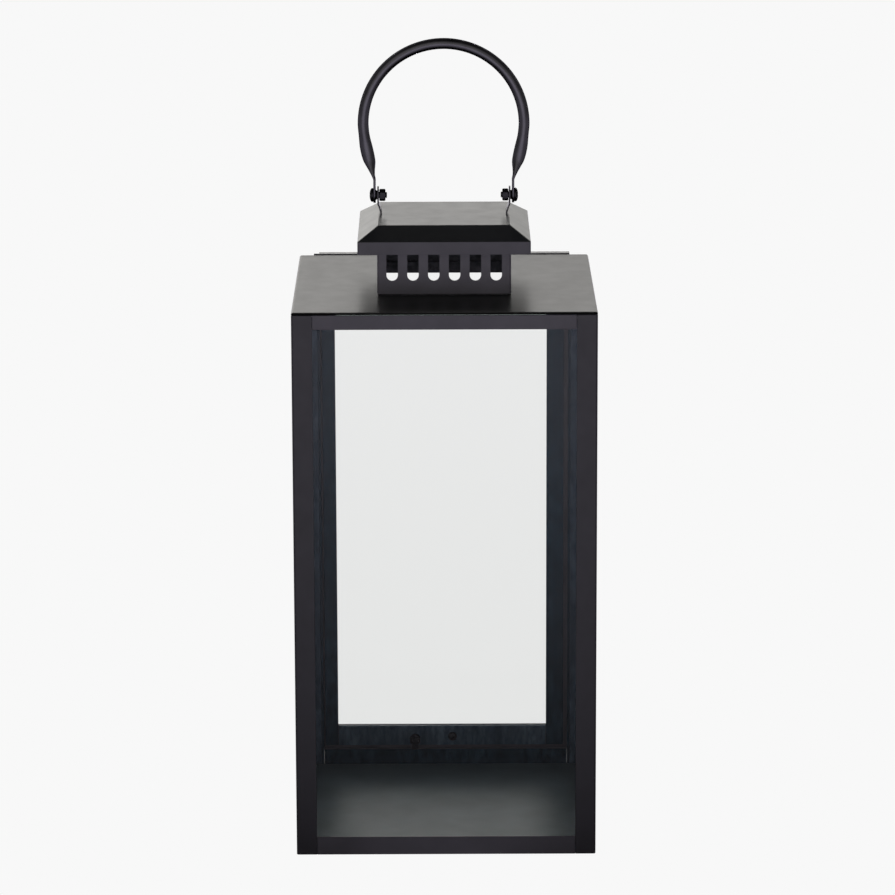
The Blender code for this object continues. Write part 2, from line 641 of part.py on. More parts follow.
def build_hinges(door_axis):
    """Two hinges: a leaf rolled around the pin on the post, one on the door above it, and the pin."""
    steps = 18
    frame_leaf = [(FRAME_LEAF_END_X, DOOR_Y)]
    frame_leaf += arc(HINGE_X, HINGE_Y, BARREL_RADIUS, -90, 200, steps)
    frame_leaf += arc(HINGE_X, HINGE_Y, BARREL_BORE, 200, -90, steps)
    frame_leaf.append((FRAME_LEAF_END_X, DOOR_Y + LEAF_SHEET))
    leaf_low = DOOR_OUTER_Y + GAP
    leaf_high = leaf_low + LEAF_SHEET
    rise_start = DOOR_LEFT + 3.0 * MM
    rise_end = DOOR_LEFT + 0.4 * MM
    door_leaf = [(DOOR_LEAF_END_X, leaf_high), (rise_start, leaf_high), (rise_end, HINGE_Y + BARREL_RADIUS)]
    door_leaf += arc(HINGE_X, HINGE_Y, BARREL_RADIUS, 90, 340, steps)
    door_leaf += arc(HINGE_X, HINGE_Y, BARREL_BORE, 340, 90, steps)
    door_leaf += [(rise_end, HINGE_Y + BARREL_BORE), (rise_start, leaf_low), (DOOR_LEAF_END_X, leaf_low)]
    for name, middle in HINGE_HEIGHTS.items():
        low = middle - BARREL_LENGTH
        high = middle + BARREL_LENGTH
        fixed = extrude(f"{name}_hinge_frame_leaf", frame_leaf, "Z", low, middle - GAP / 2, "powder_coat")
        moving = extrude(f"{name}_hinge_door_leaf", door_leaf, "Z", middle + GAP / 2, high, "powder_coat",
                         parent=door_axis)
        smooth(fixed)
        smooth(moving)
        pin = [(low - SCREW_REACH, PIN_RADIUS, 0), (high + GAP, PIN_RADIUS, 0)]
        pin += [(high + along * MM, radius * MM, 0) for along, radius in PIN_HEAD]
        turn(f"{name}_hinge_pin", pin, "Z", (HINGE_X, HINGE_Y), 20, "black_fastener")


def build_latch(latch_axis):
    """Turn latch: an outside thumb turn with its spindle, an inside tongue and the nut that holds it."""
    centre = (LATCH_X, LATCH_Z)
    place = world_place(latch_axis)
    wing_start = DOOR_OUTER_Y + GAP
    wing_end = wing_start + WING_DEPTH
    reach = (WING_LENGTH - WING_WIDTH) / 2
    rings = []
    for y, radius in ((wing_start, WING_WIDTH / 2), (wing_end - WING_CHAMFER, WING_WIDTH / 2),
                      (wing_end, WING_WIDTH / 2 - WING_CHAMFER)):
        outline = arc(LATCH_X, LATCH_Z + reach, radius, 0, 180, 8)
        outline += arc(LATCH_X, LATCH_Z - reach, radius, 180, 360, 8)
        rings.append([(x, y, z) for x, z in outline])
    wing = loft("latch_thumb_turn", rings, "black_fastener", origin=place, parent=latch_axis)
    tongue_y = LINER_INNER_Y - GAP
    nut_y = tongue_y - TONGUE_SHEET - GAP
    tip = nut_y - NUT_HEIGHT - SCREW_REACH
    profile = [(tip, SHANK_TIP, 0), (tip + TIP_CHAMFER, SHANK, 0), (wing_start + WING_DEPTH / 3, SHANK, 0)]
    join(wing, turn("latch_spindle_core", profile, "Y", centre, 24))
    smooth(wing)
    half_tongue = TONGUE_WIDTH / 2
    shoulder = degrees(asin(half_tongue / TONGUE_HEAD))
    outline = [(LATCH_X - half_tongue, TONGUE_TIP_Z), (LATCH_X + half_tongue, TONGUE_TIP_Z)]
    outline += arc(*centre, TONGUE_HEAD, shoulder - 90, 270 - shoulder, 16)
    tongue = extrude("latch_tongue", outline, "Y", tongue_y - TONGUE_SHEET, tongue_y, "black_fastener",
                     origin=place, parent=latch_axis)
    cut(tongue, drill("latch_tongue_hole", "Y", centre, tongue_y))
    smooth(tongue)
    build_nut("latch_nut", "Y", centre, nut_y, nut_y - NUT_HEIGHT, origin=place, parent=latch_axis)


def build_knob(door_axis):
    """Pull knob outside, and the round-headed screw that holds it from inside."""
    centre = (KNOB_X, KNOB_Z)
    base = DOOR_OUTER_Y + GAP
    bore = KNOB_SHANK + GAP
    bore_end = base + KNOB_BORE_DEPTH
    profile = [(bore_end, bore / 2, 0), (bore_end, bore, 0), (base, bore, 0)]
    profile += [(base + along * MM, radius * MM, 0) for along, radius in KNOB_PROFILE]
    turn("pull_knob", profile, "Y", centre, 28, "black_fastener", parent=door_axis)
    under_head = LINER_INNER_Y - GAP
    tip = bore_end - SCREW_REACH
    screw = [(tip, KNOB_SHANK - TIP_CHAMFER, 0), (tip - TIP_CHAMFER, KNOB_SHANK, 0)]
    screw.append((under_head, KNOB_SHANK, 0))
    screw += [(under_head - along * MM, radius * MM, 0) for along, radius in KNOB_HEAD]
    turn("knob_screw", screw, "Y", centre, 24, "black_fastener", parent=door_axis)


def main():
    clear_scene()
    door_axis = axis_empty("door_axis", (HINGE_X, HINGE_Y, 0.0))
    latch_axis = axis_empty("latch_axis", (LATCH_X, DOOR_Y, LATCH_Z), parent=door_axis)
    build_posts()
    build_rails()
    build_floor_and_roof()
    build_chimney()
    build_cap()
    build_lugs_and_screws()
    build_bail()
    build_glass()
    build_door(door_axis)
    build_hinges(door_axis)
    build_latch(latch_axis)
    build_knob(door_axis)


main()
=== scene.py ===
"""Looks of the square candle lantern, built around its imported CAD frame.

Units are metres and +Z is up.  The front is at -Y and the door is at the rear.
The bars, bent sheet, handle, hinges and fasteners are rebuilt here with soft bends and edges.
The panes, glass strips, liner strips, floor plate, hinge pins and latch tongue keep their CAD shapes.
"""
import json
from math import asin, cos, pi, radians, sin, sqrt, tan

import bmesh
import bpy
from mathutils import Matrix, Vector

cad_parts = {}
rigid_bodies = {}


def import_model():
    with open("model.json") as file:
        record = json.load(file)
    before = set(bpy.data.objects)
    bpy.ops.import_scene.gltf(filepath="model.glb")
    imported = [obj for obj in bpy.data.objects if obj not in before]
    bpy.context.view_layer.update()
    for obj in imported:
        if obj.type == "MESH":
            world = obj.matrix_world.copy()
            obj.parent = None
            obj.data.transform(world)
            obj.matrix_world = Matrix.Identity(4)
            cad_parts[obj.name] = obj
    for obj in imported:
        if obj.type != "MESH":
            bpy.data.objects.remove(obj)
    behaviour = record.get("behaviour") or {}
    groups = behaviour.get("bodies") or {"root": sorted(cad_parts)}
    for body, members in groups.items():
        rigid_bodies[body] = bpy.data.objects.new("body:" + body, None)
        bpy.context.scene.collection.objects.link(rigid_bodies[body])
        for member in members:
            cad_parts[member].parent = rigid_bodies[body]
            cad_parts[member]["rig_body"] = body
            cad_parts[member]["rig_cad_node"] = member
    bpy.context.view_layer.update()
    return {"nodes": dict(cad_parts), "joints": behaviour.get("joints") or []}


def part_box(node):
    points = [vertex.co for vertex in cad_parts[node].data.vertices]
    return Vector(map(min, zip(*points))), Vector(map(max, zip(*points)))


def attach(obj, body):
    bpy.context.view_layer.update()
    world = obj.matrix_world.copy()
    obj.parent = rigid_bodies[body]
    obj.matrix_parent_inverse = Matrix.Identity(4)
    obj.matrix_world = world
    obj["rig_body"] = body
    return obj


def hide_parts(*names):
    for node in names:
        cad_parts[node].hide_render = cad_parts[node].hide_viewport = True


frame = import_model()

MM = 0.001
GAP = 0.3 * MM                  # clearance between pieces that touch
SHEET = 1.5 * MM                # steel of the posts, roof and door plate
BODY_OF = {row["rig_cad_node"]: row["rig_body"] for row in frame["nodes"].values()}

# Camera
CAMERA_PLACE = (-0.0033, -2.8788, 0.9351)
CAMERA_TURN = -0.1028           # degrees about the vertical
CAMERA_TILT = 76.634            # degrees up from straight down
CAMERA_ROLL = -0.1848           # degrees about its own axis
CAMERA_LENS = 179.06            # mm
CAMERA_SENSOR = 36.0            # mm
CAMERA_REACH = 50.0             # metres

# Bends and edges
BEND_STEPS = 8                  # flat facets in one bend
SHARP = 30.0                    # degrees: edges that bend more than this stay sharp in shading
SMOOTH = 40.0                   # the same for pieces with coarser curves
BEVELLED = 42.0                 # and for pieces with softened edges
BUTT = 0.25 * MM                # how much of the gap at the end of a rail its weld fills
BAR_EDGE = 0.35 * MM            # softened edge of the bars and the door plate
THIN_EDGE = 0.2 * MM            # softened edge of the cap and lugs
SLOT_EDGE = 0.15 * MM           # softened edge of the chimney and its slots
CUT_REACH = 5.0 * MM            # how far a cutter passes the wall it cuts
CUT_STEPS = 16                  # flat facets in a half circle

# Roof, chimney and cap
ROOF_RIM = 1.4 * MM             # radius of the roof plate's rolled rim
COLLAR_HEIGHT = 6.0 * MM
COLLAR_SLACK = 0.1 * MM         # a face this far above the plate counts as part of the collar
CHIMNEY_SHEET = 1.0 * MM
CHIMNEY_RADIUS = 1.6 * MM
SLOT_COUNT = 6
SLOT_WIDTH = 7.4 * MM
SLOT_PITCH = 13.5 * MM
SLOT_BOTTOM = 372.6 * MM
REAR_SLOT_BOTTOM = 374.2 * MM
SLOT_TOP = 399.5 * MM
CAP_FLAT_HALF = 42.8 * MM       # half the width of the cap's flat top
CAP_SKIRT = 8.5 * MM            # height of its upright skirt
CAP_SHEET = 1.0 * MM
CAP_BEND = 1.0 * MM             # outside radius of its bends and hips
CAP_RUN = 4.0 * MM              # how far the flat top runs on past its bend before it is closed
LINING_SLACK = 0.2 * MM         # a face this close to the chimney's inside counts as part of it

# Bail handle
ARC_RADIUS = 52.6 * MM
TAB_HALF_WIDTH = 5.2 * MM
TAB_HALF_THICKNESS = 0.8 * MM
TAB_X = 45.4 * MM
TAB_RISE = 10.5 * MM            # the tube is fully flattened up to this height above the pivot
ROUND_RISE = 23.5 * MM          # and full again from this height
LEG_CURVE = 1.5                 # how quickly a leg swings in from the arc to its tab
BULGE = 0.72 * MM               # swelling where the tube is pressed flat
BULGE_RISE = (16.5 * MM, 27.5 * MM, 29.5 * MM, 41.5 * MM)      # it grows, is full, fades and ends here
CIRCLE = 2.0                    # squareness of a round section
STRIP_SQUARENESS = 3.0          # how much squarer a pressed section is
SECTION_STEPS = 32
LEG_STEPS = 44
ARC_STEPS = 72
TAB_STEPS = 10
TAB_SECTIONS = (8.5 * MM, 5.5 * MM, 3.0 * MM)  # heights of the flat tab's sections above the pivot
TAB_END_DEPTH = 0.988           # depth of the round tab's small flat end, as a share of its half width

# Lugs
LUG_SHEET = 1.0 * MM
LUG_LEAN = 1.9 * MM             # how far the lug leans out between its two bends
LUG_BEND_DROP = (10.5 * MM, 4.9 * MM)          # their heights below the pivot
LUG_BEND_HALF = 0.6 * MM        # half the height of one bend
LUG_TOP_TURN = 82.0             # degrees of the round top that are drawn on either side
LUG_DRILL_REACH = 2.0 * MM

# Fasteners
BORE = 2.3 * MM
SHANK = 2.0 * MM
SHANK_TIP = 1.55 * MM           # radius of a shank at its very tip
TIP_LENGTH = 0.2 * MM
THREAD_PITCH = 0.5 * MM
THREAD_DEPTH = 0.18 * MM
SCREW_STEPS = 40
HEAD_RADIUS = 4.5 * MM
HEAD_RIM = 0.6 * MM
NUT_HALF_FLATS = 3.5 * MM
NUT_CHAMFER = 0.5 * MM
RECESS_ARM = 0.22               # width of a cross recess's arm, as a share of its length
RECESS_TAPER = 0.45             # size of its bottom, as a share of its top
RECESS_LEAD = 0.05 * MM         # how far above the head its cutter starts
PIVOT_RECESS = (1.1 * MM, 2.2 * MM)            # depth and half length
KNOB_RECESS = (0.9 * MM, 1.5 * MM)

# Door, hinges, latch and knob
WINDOW = (-74.7 * MM, 70.0 * MM, 29.6 * MM, 351.1 * MM)        # left, right, low and high
FLANGE_LEFT = -85.0 * MM        # left end of the door plate's folded top edge
DOOR_HINGE_RISE = (3.4 * MM, 6.1 * MM)         # where the door's leaf steps out, from the hinge axis
PIN_HEAD_LAP = 0.6 * MM         # how far a pin's head reaches past the leaves' bore
LEAF_PLAY = 0.1 * MM            # room between the two leaves, on top of the gap
ROLL_STEPS = 36
RIVET_RADIUS = 1.15 * MM
RIVET_HEIGHT = 0.6 * MM
RIVET_SINK = 0.3 * MM           # how far a rivet's head is sunk into its leaf
RIVET_MARGIN = 3.4 * MM         # from a leaf's end to the middle of its rivet
WING_ROUND = 1.1 * MM           # rounded rim of the thumb turn
WING_FOOT = 0.4 * MM            # chamfer of the face that turns on the door
SPINDLE_LAP = 2.0 * MM          # how deep its spindle reaches into it
KNOB_SHANK = 1.6 * MM
KNOB_SHANK_TIP = 1.25 * MM
KNOB_BORE_DEPTH = 8.0 * MM
KNOB_FOOT = (0.8 * MM, 3.3 * MM)               # height and radius of the knob's foot
KNOB_NECK = (1.4 * MM, 2.7 * MM)               # where its neck starts, and the neck's radius
KNOB_HEAD_START = 4.2 * MM
KNOB_FULLNESS = 0.62            # below 1 the knob's head is fuller than a ball
KNOB_CROWN = 0.4 * MM           # radius of the small flat on its crown
KNOB_SCREW_HEAD = 3.0 * MM
KNOB_SCREW_RISE = 2.4 * MM      # height of the screw's head
KNOB_SCREW_PLAIN = 4.0 * MM     # plain shank under it

# Colours, in linear light
POST_BLACK = (0.022, 0.020, 0.028)
# Painted light: the rails and the chimney carry the posts' black coat made lighter, for the light that falls
# on them.
RAIL_LIT_BLACK = (0.066, 0.061, 0.078)
CHIMNEY_LIT_BLACK = (0.112, 0.105, 0.128)
ROOF_BLACK = (0.002, 0.002, 0.0025)
CAP_BLACK = (0.003, 0.004, 0.007)
# Painted shade: the dark line along the roof plate's edge.
RIM_SHADE_BLACK = (0.0015, 0.0015, 0.0018)
# Painted reflection: a light blue-grey for what the floor plate mirrors.
FLOOR_PLATE_REFLECTION_GREY = (0.085, 0.112, 0.124)
HANDLE_GREY = (0.096, 0.093, 0.103)
# Painted reflection: blue-greys and a blue gloss tint for the frame's inside faces behind the glass, and for
# the glass strips.
INNER_REFLECTION_BLUES = ((0.002, 0.009, 0.016), (0.020, 0.046, 0.072))
STRIP_REFLECTION_BLUES = ((0.040, 0.060, 0.090), (0.110, 0.150, 0.200))
INNER_REFLECTION_TINT = (0.40, 0.75, 1.0, 1.0)
# Painted shade: dark greys inside the vent, on the collar and under the cap.
VENT_SHADE_GREYS = ((0.035, 0.036, 0.040), (0.085, 0.086, 0.094))
OXIDE_GREYS = ((0.022, 0.022, 0.026), (0.050, 0.049, 0.054))
GLASS_FACE = (0.925, 0.930, 0.925)
GLASS_EDGE = (0.45, 0.80, 0.66)

# Light.  A row of four numbers is two places on a scale, and the brightness at each of them.
PAPER = 0.9387                  # brightness of the backdrop and floor as the camera sees them
TENT_TINT = (1.0, 0.985, 0.955)
TENT_LEVELS = ((0.0, 1.10), (0.42, 1.16), (0.62, 0.60), (0.85, 0.09), (1.0, 0.05))     # (height, brightness)
TENT_FRONT_TO_BACK = (-0.2, 0.75, 0.49, 1.75)
TENT_LEFT_TO_RIGHT = (-0.15, 0.15, 1.20, 0.86)
TENT_SIDES = (0.35, 0.80, 1.0, 0.25)
FLOOR_HALF = 9.0                # metres
FLOOR_CORNER = 2.0
FLOOR_THICKNESS = 2.0 * MM
FLOOR_TINT = (1.0, 0.955, 1.09)
FLOOR_REACH = 2.0               # metres from the lantern to the last of these levels
FLOOR_LEVELS = ((0.0, 0.20), (0.10, 0.24), (0.40, 0.62), (0.75, 1.10), (1.0, 1.20))
FLOOR_SIDES = (0.22, 0.62, 1.0, 0.34)
FLOOR_BEHIND = (0.5, 2.5, 1.0, 1.9)


def arc(centre, radius, start, end, steps):
    """Points of an arc in a plane, from one angle to another in degrees."""
    points = []
    for step in range(steps + 1):
        angle = radians(start + (end - start) * step / steps)
        points.append((centre[0] + radius * cos(angle), centre[1] + radius * sin(angle)))
    return points


def rounded_ring(half, radius, z, steps=BEND_STEPS):
    """A square ring around the Z axis with rounded corners."""
    ring = []
    for quarter in range(4):
        corner = radians(45 + 90 * quarter)
        centre = (sqrt(2) * (half - radius) * cos(corner), sqrt(2) * (half - radius) * sin(corner))
        ring += [(x, y, z) for x, y in arc(centre, radius, 90 * quarter, 90 * quarter + 90, steps)]
    return ring


def fillet(points, radius, steps=BEND_STEPS):
    """Round the inner corners of an open line in a plane."""
    line = [points[0]]
    for before, corner, after in zip(points, points[1:], points[2:]):
        corner = Vector(corner)
        arm_in = (Vector(before) - corner).normalized()
        arm_out = (Vector(after) - corner).normalized()
        half_angle = arm_in.angle(arm_out) / 2
        reach = radius / tan(half_angle)
        centre = corner + (arm_in + arm_out).normalized() * (radius / sin(half_angle))
        start = corner + arm_in * reach - centre
        end = corner + arm_out * reach - centre
        for step in range(steps + 1):
            share = step / steps
            spoke = start.lerp(end, share).normalized() * radius
            line.append(tuple(centre + spoke))
    line.append(points[-1])
    return line


def to_space(axis, across, up, along):
    """A point from its place in an outline and its place along the axis X, Y or Z."""
    if axis == "X":
        return (along, across, up)
    if axis == "Y":
        return (across, along, up)
    return (across, up, along)


def skin(name, rings, closed=False, angle=SHARP):
    """Join rings of points into one closed mesh, shaded smooth between its real edges."""
    builder = bmesh.new()
    rows = [[builder.verts.new(point) for point in ring] for ring in rings]
    pairs = list(zip(rows, rows[1:]))
    if closed:
        pairs.append((rows[-1], rows[0]))
    else:
        builder.faces.new(rows[0])
        builder.faces.new(rows[-1])
    for row, following in pairs:
        for index, vertex in enumerate(row):
            after = (index + 1) % len(row)
            builder.faces.new((vertex, row[after], following[after], following[index]))
    bmesh.ops.recalc_face_normals(builder, faces=builder.faces)
    mesh = bpy.data.meshes.new(name)
    builder.to_mesh(mesh)
    builder.free()
    piece = bpy.data.objects.new(name, mesh)
    bpy.context.scene.collection.objects.link(piece)
    shade(piece, angle)
    return piece


def shade(piece, angle=SHARP):
    """Shade curved faces smooth and keep real edges sharp."""
    piece.data.shade_smooth()
    piece.data.set_sharp_from_angle(angle=radians(angle))


def extrude(name, outline, axis, start, end, **options):
    """A straight piece with one outline, which runs from start to end along an axis."""
    rings = [[to_space(axis, across, up, along) for across, up in outline] for along in (start, end)]
    return skin(name, rings, **options)


def lathe(name, profile, axis, centre, steps=48, closed=False, angle=SHARP):
    """A turned piece.  Its profile holds (place along the axis, radius) or (place, radius, sides)."""
    rings = []
    for along, radius, *rest in profile:
        sides = rest[0] if rest else 0
        ring = []
        for step in range(steps):
            turn = 2 * pi * step / steps
            reach = radius
            if sides:
                sector = 2 * pi / sides
                reach = radius / cos((turn + sector / 2) % sector - sector / 2)
            across = centre[0] + reach * cos(turn)
            up = centre[1] + reach * sin(turn)
            ring.append(to_space(axis, across, up, along))
        rings.append(ring)
    return skin(name, rings, closed=closed, angle=angle)


def carve(piece, helpers, operation="DIFFERENCE", angle=SHARP):
    """Cut helper shapes out of a piece, or join them to it, and drop them."""
    for helper in helpers:
        boolean = piece.modifiers.new(helper.name, "BOOLEAN")
        boolean.operation = operation
        boolean.solver = "EXACT"
        boolean.object = helper
    settle(piece, angle)
    for helper in helpers:
        bpy.data.objects.remove(helper)
    return piece


def settle(piece, angle=SHARP):
    """Make a piece's modifiers part of its mesh, and merge points closer than a micrometre."""
    tiny = 0.001 * MM
    depsgraph = bpy.context.evaluated_depsgraph_get()
    mesh = bpy.data.meshes.new_from_object(piece.evaluated_get(depsgraph))
    piece.modifiers.clear()
    piece.data = mesh
    builder = bmesh.new()
    builder.from_mesh(mesh)
    bmesh.ops.remove_doubles(builder, verts=builder.verts, dist=tiny)
    bmesh.ops.dissolve_degenerate(builder, edges=builder.edges, dist=tiny)
    builder.to_mesh(mesh)
    builder.free()
    shade(piece, angle)


def soften(piece, width, segments=3):
    """Break the sharp edges of a piece, and keep its flat faces flat in shading."""
    bevel = piece.modifiers.new("soft_edges", "BEVEL")
    bevel.width = width
    bevel.segments = segments
    bevel.limit_method = "ANGLE"
    bevel.angle_limit = radians(SHARP)
    settle(piece, BEVELLED)
    return flatten(piece)


def flatten(piece):
    """Let the large faces of a piece set the shading of the edges beside them."""
    weighted = piece.modifiers.new("flat_faces", "WEIGHTED_NORMAL")
    weighted.keep_sharp = True
    return piece


def coat_faces(piece, coat, test):
    """Give the faces that pass a test of their middle and normal another material."""
    piece.data.materials.append(coat)
    index = len(piece.data.materials) - 1
    for polygon in piece.data.polygons:
        if test(polygon.center, polygon.normal):
            polygon.material_index = index


def fit(piece, slot, material, *nodes):
    """A piece stands for CAD nodes, moves with their body, and has its finish."""
    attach(piece, BODY_OF[nodes[0]])
    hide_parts(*nodes)
    piece.data.materials.clear()
    piece.data.materials.append(material)
    return piece


# ---------------------------------------------------------------- nodes and materials

def add_node(tree, kind, **settings):
    """A new shader node, with its settings."""
    node = tree.nodes.new(kind)
    for key, value in settings.items():
        setattr(node, key, value)
    return node


def arithmetic(tree, operation, *values):
    """One step of arithmetic on sockets or numbers."""
    node = add_node(tree, "ShaderNodeMath", operation=operation)
    for socket, value in zip(node.inputs, values):
        if isinstance(value, float):
            socket.default_value = value
        else:
            tree.links.new(value, socket)
    return node.outputs[0]


def axes_of(tree, vector):
    """The X, Y and Z of a vector, as sockets."""
    parts = add_node(tree, "ShaderNodeSeparateXYZ")
    tree.links.new(vector, parts.inputs["Vector"])
    return parts.outputs


def dimmed(colour, share):
    """A colour times one number."""
    return tuple(channel * share for channel in colour)


class Recipe:
    """A Principled material with a few short cuts for procedural detail in the object's own space."""

    def __init__(self, name, **values):
        self.material = bpy.data.materials.new(name)
        self.material.use_nodes = True
        self.tree = self.material.node_tree
        self.shader = self.tree.nodes["Principled BSDF"]
        self.place = self.add("ShaderNodeTexCoord").outputs["Object"]
        for key, value in values.items():
            self.shader.inputs[key.replace("_", " ")].default_value = value

    def add(self, kind, **settings):
        """A new node in this material."""
        return add_node(self.tree, kind, **settings)

    def join(self, source, target):
        """A link from one socket to another."""
        self.tree.links.new(source, target)

    def feed(self, **sources):
        """Links from detail to the shader's own sockets."""
        for key, source in sources.items():
            self.join(source, self.shader.inputs[key.replace("_", " ")])

    def noise(self, scale, detail=2.0, roughness=0.5, stretch=(1.0, 1.0, 1.0)):
        """Noise between 0 and 1."""
        mapping = self.add("ShaderNodeMapping")
        mapping.inputs["Scale"].default_value = stretch
        self.join(self.place, mapping.inputs["Vector"])
        texture = self.add("ShaderNodeTexNoise")
        texture.inputs["Scale"].default_value = scale
        texture.inputs["Detail"].default_value = detail
        texture.inputs["Roughness"].default_value = roughness
        self.join(mapping.outputs["Vector"], texture.inputs["Vector"])
        return texture.outputs["Fac"]

    def spread(self, value, low, high, from_low=0.3, from_high=0.7):
        """A value mapped in a straight line from one range to another, and held at its ends."""
        node = self.add("ShaderNodeMapRange")
        node.inputs["From Min"].default_value = from_low
        node.inputs["From Max"].default_value = from_high
        node.inputs["To Min"].default_value = low
        node.inputs["To Max"].default_value = high
        self.join(value, node.inputs["Value"])
        return node.outputs["Result"]

    def blend(self, factor, first, second):
        """A mix of two colours or colour sockets."""
        mix = self.add("ShaderNodeMix", data_type="RGBA")
        for socket, colour in ((mix.inputs[6], first), (mix.inputs[7], second)):
            if isinstance(colour, tuple):
                socket.default_value = (*colour, 1.0)
            else:
                self.join(colour, socket)
        self.join(factor, mix.inputs[0])
        return mix.outputs[2]

    def bump(self, height, distance):
        """Surface slopes from a height between 0 and 1 and the depth of its relief."""
        node = self.add("ShaderNodeBump")
        node.inputs["Distance"].default_value = distance
        self.join(height, node.inputs["Height"])
        return node.outputs["Normal"]


def powder_coat(name, colour, roughness=0.42, contrast=0.12, peel=0.02 * MM):
    """Satin black powder coat: soft orange peel, faint patches, and slightly uneven gloss."""
    recipe = Recipe(name)
    patches = recipe.spread(recipe.noise(scale=45.0, detail=3.0), 0.0, 1.0)
    gloss = recipe.noise(scale=160.0)
    recipe.feed(
        Base_Color=recipe.blend(patches, dimmed(colour, 1 - contrast), dimmed(colour, 1 + contrast)),
        Roughness=recipe.spread(gloss, roughness - 0.03, roughness + 0.03),
        Normal=recipe.bump(recipe.noise(scale=650.0, detail=1.0), peel),
    )
    return recipe.material


def enamel(name, colour, roughness, ior, grain=0.0, wave=0.02 * MM):
    """Smooth dark enamel on nearly flat sheet, never quite a mirror.  Its rolling grain runs across."""
    recipe = Recipe(name, IOR=ior, Anisotropic=grain)
    if grain:
        tangent = recipe.add("ShaderNodeCombineXYZ")
        tangent.inputs["Y"].default_value = 1.0
        recipe.feed(Tangent=tangent.outputs["Vector"])
    patches = recipe.spread(recipe.noise(scale=30.0, detail=3.0), 0.0, 1.0)
    gloss = recipe.noise(scale=90.0, detail=3.0)
    recipe.feed(
        Base_Color=recipe.blend(patches, colour, dimmed(colour, 1.3)),
        Roughness=recipe.spread(gloss, roughness - 0.015, roughness + 0.015),
        Normal=recipe.bump(recipe.noise(scale=35.0, detail=1.0), wave),
    )
    return recipe.material


def vent_shade_black(name):
    """Painted shade: matt dark greys for the inside of the vent."""
    recipe = Recipe(name, Specular_IOR_Level=0.15)
    vent_shade = recipe.noise(scale=180.0, detail=4.0)
    recipe.feed(
        Base_Color=recipe.blend(recipe.spread(vent_shade, 0.0, 1.0), *VENT_SHADE_GREYS),
        Roughness=recipe.spread(vent_shade, 0.75, 0.95),
    )
    return recipe.material


def painted_reflection_coat(name, colour, tint):
    """Painted reflection on the bars behind the glass: blue-grey mottling in upright streaks, and a blue tint
    in their gloss.
    """
    recipe = Recipe(name, Specular_IOR_Level=0.42, Specular_Tint=INNER_REFLECTION_TINT)
    streaks = recipe.noise(scale=260.0, detail=4.0, roughness=0.65, stretch=(1.0, 1.0, 0.35))
    clouds = recipe.noise(scale=38.0, detail=3.0, roughness=0.6, stretch=(1.0, 1.0, 0.4))
    blotches = recipe.blend(recipe.spread(streaks, 0.0, 1.0, 0.35, 0.65), colour, tint)
    recipe.feed(
        Base_Color=recipe.blend(recipe.spread(clouds, 0.0, 0.7, 0.4, 0.65), blotches, dimmed(colour, 0.5)),
        Roughness=recipe.spread(streaks, 0.36, 0.56),
        Normal=recipe.bump(recipe.noise(scale=700.0, detail=1.0), 0.03 * MM),
    )
    return recipe.material


def bar_coat(name, colour):
    """Semi-gloss black on the round bar of the handle, dark where it turns away."""
    recipe = Recipe(name, Metallic=1.0, Specular_Tint=(0.0, 0.0, 0.0, 1.0))
    patches = recipe.noise(scale=120.0, detail=3.0)
    recipe.feed(
        Base_Color=recipe.blend(recipe.spread(patches, 0.0, 1.0), dimmed(colour, 0.85), dimmed(colour, 1.15)),
        Roughness=recipe.spread(patches, 0.24, 0.32),
        Normal=recipe.bump(recipe.noise(scale=650.0, detail=1.0), 0.01 * MM),
    )
    return recipe.material


def fastener_black(name):
    """Black oxide on steel screws, nuts and turned parts."""
    recipe = Recipe(name, Metallic=1.0, Specular_Tint=(0.1, 0.1, 0.1, 1.0))
    patches = recipe.noise(scale=700.0, detail=3.0)
    recipe.feed(
        Base_Color=recipe.blend(recipe.spread(patches, 0.0, 1.0), *OXIDE_GREYS),
        Roughness=recipe.spread(patches, 0.26, 0.40),
    )
    return recipe.material


def window_glass(name, axis):
    """Clear float glass.  Its faces, across one axis, are nearly colourless and its cut edges are green."""
    recipe = Recipe(name, Transmission_Weight=1.0, IOR=1.24, Roughness=0.0)
    normal = axes_of(recipe.tree, recipe.add("ShaderNodeNewGeometry").outputs["True Normal"])
    size = arithmetic(recipe.tree, "ABSOLUTE", normal[axis])
    recipe.feed(Base_Color=recipe.blend(recipe.spread(size, 0.0, 1.0, 0.6, 0.9), GLASS_EDGE, GLASS_FACE))
    return recipe.material


# ---------------------------------------------------------------- stage

def ramp(tree, value, stops, tint):
    """A smooth ramp of one tint, as (position, brightness) stops."""
    node = add_node(tree, "ShaderNodeValToRGB")
    node.color_ramp.interpolation = "EASE"
    elements = node.color_ramp.elements
    while len(elements) < len(stops):
        elements.new(0.5)
    for element, (position, level) in zip(elements, stops):
        element.position = position
        element.color = (*dimmed(tint, level), 1.0)
    tree.links.new(value, node.inputs["Fac"])
    return node.outputs["Color"]


def ranged(tree, value, from_low, from_high, low, high):
    """A value mapped smoothly from one range to another, and held at its ends."""
    node = add_node(tree, "ShaderNodeMapRange", interpolation_type="SMOOTHSTEP")
    for name, number in (("From Min", from_low), ("From Max", from_high), ("To Min", low), ("To Max", high)):
        node.inputs[name].default_value = number
    tree.links.new(value, node.inputs["Value"])
    return node.outputs["Result"]


def scaled_colour(tree, colour, share):
    """A colour times a value, which may take it above 1."""
    node = add_node(tree, "ShaderNodeVectorMath", operation="SCALE")
    tree.links.new(colour, node.inputs[0])
    tree.links.new(share, node.inputs["Scale"])
    return node.outputs[0]


